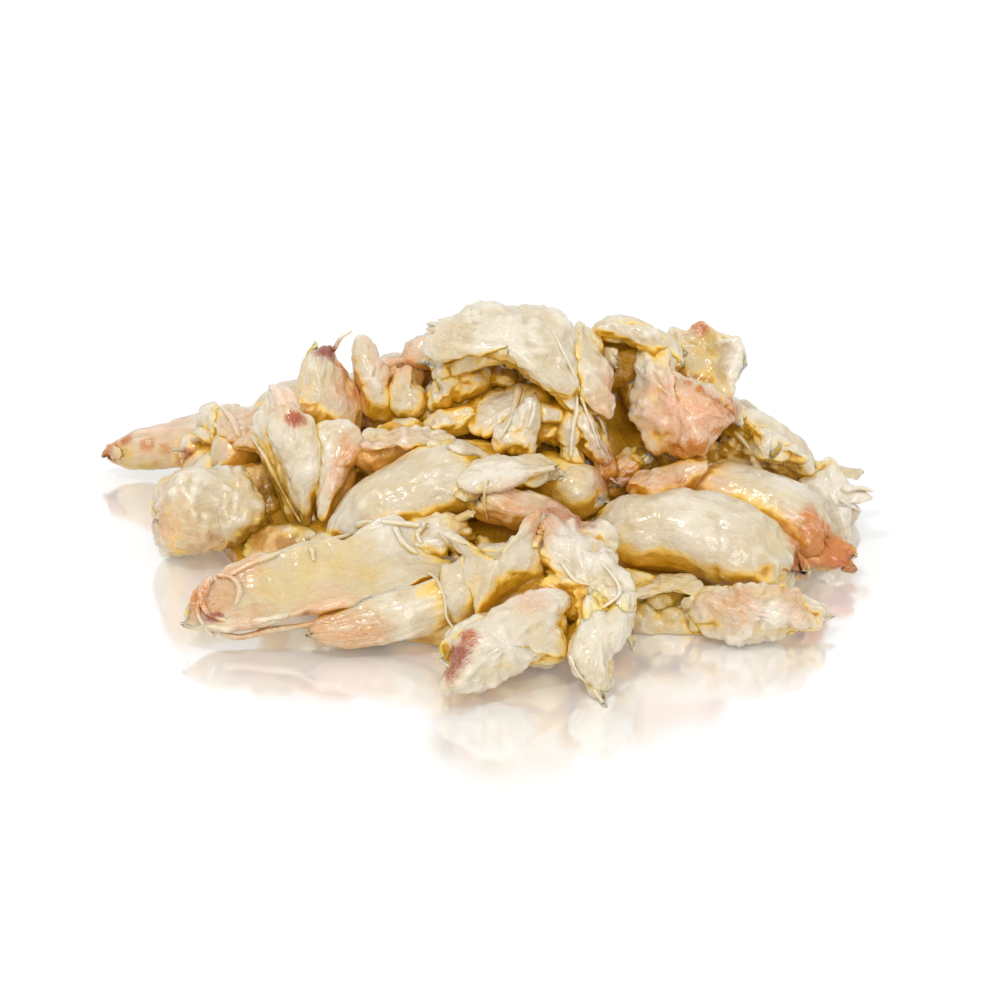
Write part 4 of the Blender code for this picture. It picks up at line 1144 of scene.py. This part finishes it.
class Nodes:
    """Short calls for building a node tree."""

    def __init__(self, tree):
        self.tree = tree

    def add(self, kind, settings=None, **inputs):
        node = self.tree.nodes.new(kind)
        for name, value in (settings or {}).items():
            setattr(node, name, value)
        for name, value in inputs.items():
            self.put(node, name.replace("_", " "), value)
        return node

    def put(self, node, name, value):
        socket = node.inputs[int(name)] if name.isdigit() else node.inputs[name]
        if isinstance(value, bpy.types.NodeSocket):
            self.tree.links.new(value, socket)
        else:
            socket.default_value = value

    def attribute(self, name, output="Fac"):
        return self.add("ShaderNodeAttribute", {"attribute_name": name}).outputs[output]

    def math(self, operation, a, b=0.0, clamp=False):
        node = self.add("ShaderNodeMath", {"operation": operation, "use_clamp": clamp})
        self.put(node, "0", a)
        self.put(node, "1", b)
        return node.outputs[0]

    def plus(self, a, b):
        return self.math("ADD", a, b)

    def times(self, a, b, clamp=False):
        return self.math("MULTIPLY", a, b, clamp)

    def noise(self, vector, scale, detail=3.0, rough=0.5, distort=0.0):
        node = self.add("ShaderNodeTexNoise", Vector=vector, Scale=scale, Detail=detail)
        self.put(node, "Roughness", rough)
        self.put(node, "Distortion", distort)
        return node.outputs["Fac"]

    def ramp(self, value, low, high):
        node = self.add("ShaderNodeMapRange", {"interpolation_type": "SMOOTHSTEP"}, Value=value)
        self.put(node, "From Min", low)
        self.put(node, "From Max", high)
        return node.outputs["Result"]

    def mix(self, amount, a, b, blend="MIX"):
        node = self.add("ShaderNodeMix", {"data_type": "RGBA", "blend_type": blend})
        self.put(node, "0", amount)
        self.put(node, "6", a)
        self.put(node, "7", b)
        return node.outputs[2]

    def colours(self, value, stops):
        node = self.add("ShaderNodeValToRGB", Fac=value)
        ramp = node.color_ramp
        while len(ramp.elements) < len(stops):
            ramp.elements.new(0.5)
        for element, (place, colour) in zip(ramp.elements, stops):
            element.position = place
            element.color = (*colour, 1.0)
        return node.outputs["Color"]


CREAM = (0.63, 0.54, 0.385, 1.0)
CREAM_WARM = (0.61, 0.485, 0.285, 1.0)
WHITE_FLESH = (0.76, 0.70, 0.59, 1.0)
SHADOW = (0.06, 0.03, 0.005, 1.0)
# Painted shade in folds and hollows: amber, darkest where most closed in.
SHADE_AMBERS = (
    (0.0, (0.68, 0.54, 0.30)),
    (0.4, (0.86, 0.66, 0.30)),
    (0.8, (0.88, 0.58, 0.12)),
    (1.0, (0.62, 0.31, 0.01)),
)
HUES = (
    (0.0, (0.76, 0.42, 0.29)),
    (0.3, (0.74, 0.36, 0.20)),
    (0.5, (0.62, 0.23, 0.025)),
    (0.75, (0.46, 0.11, 0.02)),
    (1.0, (0.24, 0.05, 0.03)),
)


def new_material(name):
    """A material with its short calls and its shader."""
    material = bpy.data.materials.new(name)
    material.use_nodes = True
    return material, Nodes(material.node_tree), material.node_tree.nodes["Principled BSDF"]


def flesh(name, glow):
    """Moist flesh. The glow is how far light travels in it, in metres."""
    material, n, shader = new_material(name)
    place = n.add("ShaderNodeTexCoord").outputs["Object"]
    grain = n.attribute("grain", "Vector")
    fibres = n.noise(grain, 1.6, 4.0, 0.55, 0.3)
    fine = n.noise(grain, 4.5, 3.0, 0.6)
    patches = n.noise(place, 160.0, 3.0, 0.55)
    specks = n.noise(place, 750.0, 2.0, 0.6)

    broad = n.noise(place, 75.0, 2.0, 0.5)
    warm_or_cool = n.ramp(n.times(n.plus(patches, broad), 0.5), 0.38, 0.62)
    colour = n.mix(warm_or_cool, CREAM_WARM, CREAM)
    # Marks: each bundle's tone, and painted light on raised places.
    mark = n.ramp(n.attribute("mark"), 0.0, 0.9)
    # Small white specks that are painted glints.
    painted_glints = n.ramp(n.noise(place, 560.0, 2.0, 0.5), 0.6, 0.7)
    for amount, share in (
        (n.ramp(fibres, 0.48, 0.78), 0.4),
        (n.attribute("pale"), 0.8),
        (mark, 0.6),
        (painted_glints, 0.45),
    ):
        colour = n.mix(n.times(amount, share), colour, WHITE_FLESH)
    # Painted shade: amber where points are closed in, in the gaps between bundles and at the shade spots,
    # less on pale flesh.
    recess_shade = n.plus(n.attribute("fold"), n.times(n.attribute("gap"), 0.25))
    opaque = n.math("SUBTRACT", 1.0, n.times(n.attribute("pale"), 0.6, True))
    fold = n.ramp(n.times(recess_shade, opaque), 0.12, 0.62)
    # Painted shade spots, broken up by patches.
    deep = n.times(n.attribute("deep"), n.ramp(patches, 0.15, 0.6))
    shade_amount = n.math("MAXIMUM", fold, n.times(deep, 0.75), True)
    colour = n.mix(n.times(shade_amount, 1.5, True), colour, n.colours(shade_amount, SHADE_AMBERS))
    # A painted shadow in the darkest shade spots.
    colour = n.mix(n.times(deep, 0.3, True), colour, SHADOW)
    blots = n.noise(place, 420.0, 3.0, 0.6)
    veins = n.plus(n.ramp(fine, 0.44, 0.62), n.times(n.ramp(blots, 0.36, 0.66), 0.6))
    veins = n.plus(0.4, n.times(veins, 0.6))
    blush = n.times(n.attribute("blush"), veins, True)
    colour = n.mix(blush, colour, n.colours(n.attribute("hue"), HUES))

    relief = n.plus(n.plus(n.times(fibres, 0.7), n.times(fine, 0.4)), n.times(specks, 1.0))
    relief = n.plus(relief, n.times(blots, 1.6))
    bump = n.add("ShaderNodeBump", Strength=0.8, Distance=0.0004, Height=relief)
    film = n.add("ShaderNodeBump", Strength=0.6, Distance=0.0004, Height=blots)
    for socket, value in (
        ("Base Color", colour),
        ("Roughness", n.plus(0.26, n.times(specks, 0.22))),
        ("Metallic", 0.0),
        ("IOR", 1.4),
        ("Subsurface Weight", 0.7),
        ("Subsurface Radius", (1.0, 0.85, 0.62)),
        ("Subsurface Scale", glow),
        ("Normal", bump.outputs["Normal"]),
        ("Coat Weight", 0.8),
        ("Coat Roughness", 0.16),
        ("Coat Normal", film.outputs["Normal"]),
    ):
        n.put(shader, socket, value)
    return material


def floor_material():
    material, n, shader = new_material("white_table")
    for socket, value in (
        ("Base Color", (0.88, 0.88, 0.88, 1.0)),
        ("Metallic", 0.5),
        ("Roughness", 0.12),
        ("IOR", 1.6),
        ("Emission Color", (1.0, 1.0, 1.0, 1.0)),
        ("Emission Strength", 0.1),
    ):
        n.put(shader, socket, value)
    return material


# ---------------------------------------------------------------- set


def add_stage():
    bpy.ops.mesh.primitive_plane_add(size=FLOOR_SIZE, location=(0.0, 0.0, 0.0))
    floor = bpy.context.object
    floor.name = "white_table"
    floor.data.materials.append(floor_material())
    world = bpy.data.worlds.new("studio")
    bpy.context.scene.world = world
    world.use_nodes = True
    sky = world.node_tree.nodes["Background"]
    sky.inputs["Color"].default_value = (1.0, 1.0, 1.0, 1.0)
    sky.inputs["Strength"].default_value = WORLD_LIGHT
    for name, kind, place, size, energy in (
        ("key", "AREA", (-0.25, -0.35, 0.85), 0.1, 2.2),
        ("front", "SUN", (0.10, -0.85, 0.50), math.radians(20.0), 0.75),
    ):
        lamp = bpy.data.lights.new(name, kind)
        lamp.energy = energy
        setattr(lamp, "size" if kind == "AREA" else "angle", size)
        holder = add_object(name, lamp)
        holder.location = place
        holder.rotation_euler = (-holder.location).to_track_quat("-Z", "Y").to_euler()


def add_camera():
    lens = bpy.data.cameras.new("camera")
    lens.lens = 180.0
    lens.sensor_width = 36.0
    lens.clip_start = 0.01
    lens.clip_end = 20.0
    camera = add_object("camera", lens)
    ahead = Vector((0.0, math.cos(VIEW_RISE), -math.sin(VIEW_RISE)))
    target = Vector((VIEW_TARGET + SHIFT) * MM)
    camera.location = target - ahead * VIEW_DISTANCE * MM
    camera.rotation_euler = ahead.to_track_quat("-Z", "Y").to_euler()
    bpy.context.scene.camera = camera


def fineness(grid):
    return [int(count * (1.0)) for count in grid]


def batch_of(rows, grid, seed, outs=None, names=()):
    lofts = as_lofts(rows)
    if outs is not None:
        lofts["out"] = outs
    for number, name in enumerate(names):
        lofts["wrinkle"][number] = WRINKLED.get(name, 0.0)
        if name in FACED:
            lofts["width"][number] *= FACED_SHARE
            lofts["thick"][number] *= FACED_SHARE
    return Batch(*loft_all(lofts, *grid, seed)), lofts


def main():
    large, large_lofts = batch_of(LARGE.values(), fineness(LARGE_GRID), LARGE_SEED, names=LARGE)
    grid = fineness(MEDIUM_GRID)
    medium, medium_lofts = batch_of(MEDIUM.values(), grid, MEDIUM_SEED, names=MEDIUM)
    back, back_lofts = batch_of(back_rows(), fineness(BACK_GRID), BACK_NOISE_SEED)
    core = mounds()
    solids = [large, medium, back, core]
    faces = plates(Eye(tree_of(solids)), *fineness(PLATE_GRID))
    solids.append(faces)
    solid = tree_of(solids)
    eye = Eye(solid)

    draw = random.Random(DRAW_SEED)
    groups = (
        (large, large_lofts, list(LARGE)),
        (medium, medium_lofts, list(MEDIUM)),
        (back, back_lofts, ["back"] * back.count),
    )
    rows = []
    outs = []
    for batch, lofts, names in groups:
        more, ways = loose_rows(draw, batch, lofts, names, solid, FLAKE_AMOUNT)
        rows += more
        outs.append(ways)
    flakes, _ = batch_of(rows, FLAKE_GRID, FLAKE_SEED, np.concatenate(outs))
    tears = []
    for _, lofts, _ in groups:
        tears += tongue_rows(draw, lofts, TONGUE_AMOUNT)
    tongues, _ = batch_of(tears, TONGUE_GRID, TONGUE_SEED)
    strands = tubes(*strand_paths(eye), STRAND_SEED)
    paths = []
    radii = []
    for batch, lofts, names in groups:
        more, sizes = fringe_paths(draw, batch, lofts, names, solid, FRINGE_AMOUNT)
        paths += more
        radii += sizes
    fringe = tubes(paths, radii, FRINGE_SEED, sides=5)

    solids += [flakes, tongues]
    tint(solids + [strands, fringe], eye, draw, back_lofts)
    whole = tree_of(solids)
    # Painted shade from rays cast over the whole heap.
    for batch in solids + [strands]:
        fold_amounts(batch, whole, SHADE_RAYS, SHADE_REACH)
    core.fold = np.maximum(core.fold, CORE_SHADE)
    for batch in (flakes, tongues):
        batch.fold = batch.fold * SMALL_SHADE
        batch.pale = np.clip(batch.pale, 0.0, SMALL_PALE)
    strands.pale = np.maximum(strands.pale, STRAND_PALE)
    fringe.fold = np.full(len(fringe.pale), FRINGE_SHADE)
    fringe.pale = np.maximum(fringe.pale, FRINGE_PALE)

    thick = flesh("thick_flesh", THICK_GLOW)
    thin = flesh("thin_flesh", THIN_GLOW)
    for name, batch, look in (
        ("large_pieces", large, thick),
        ("medium_pieces", medium, thick),
        ("back_pieces", back, thin),
        ("core", core, thick),
        ("broad_flakes", faces, thin),
        ("flakes", flakes, thin),
        ("torn_ends", tongues, thin),
        ("strands", strands, thin),
        ("fibres", fringe, thin),
    ):
        made = make_object(name, batch, look)
        print(name, "triangles", sum(len(p.vertices) - 2 for p in made.data.polygons))
    add_stage()
    add_camera()
    bpy.context.scene.view_settings.view_transform = "Standard"


main()
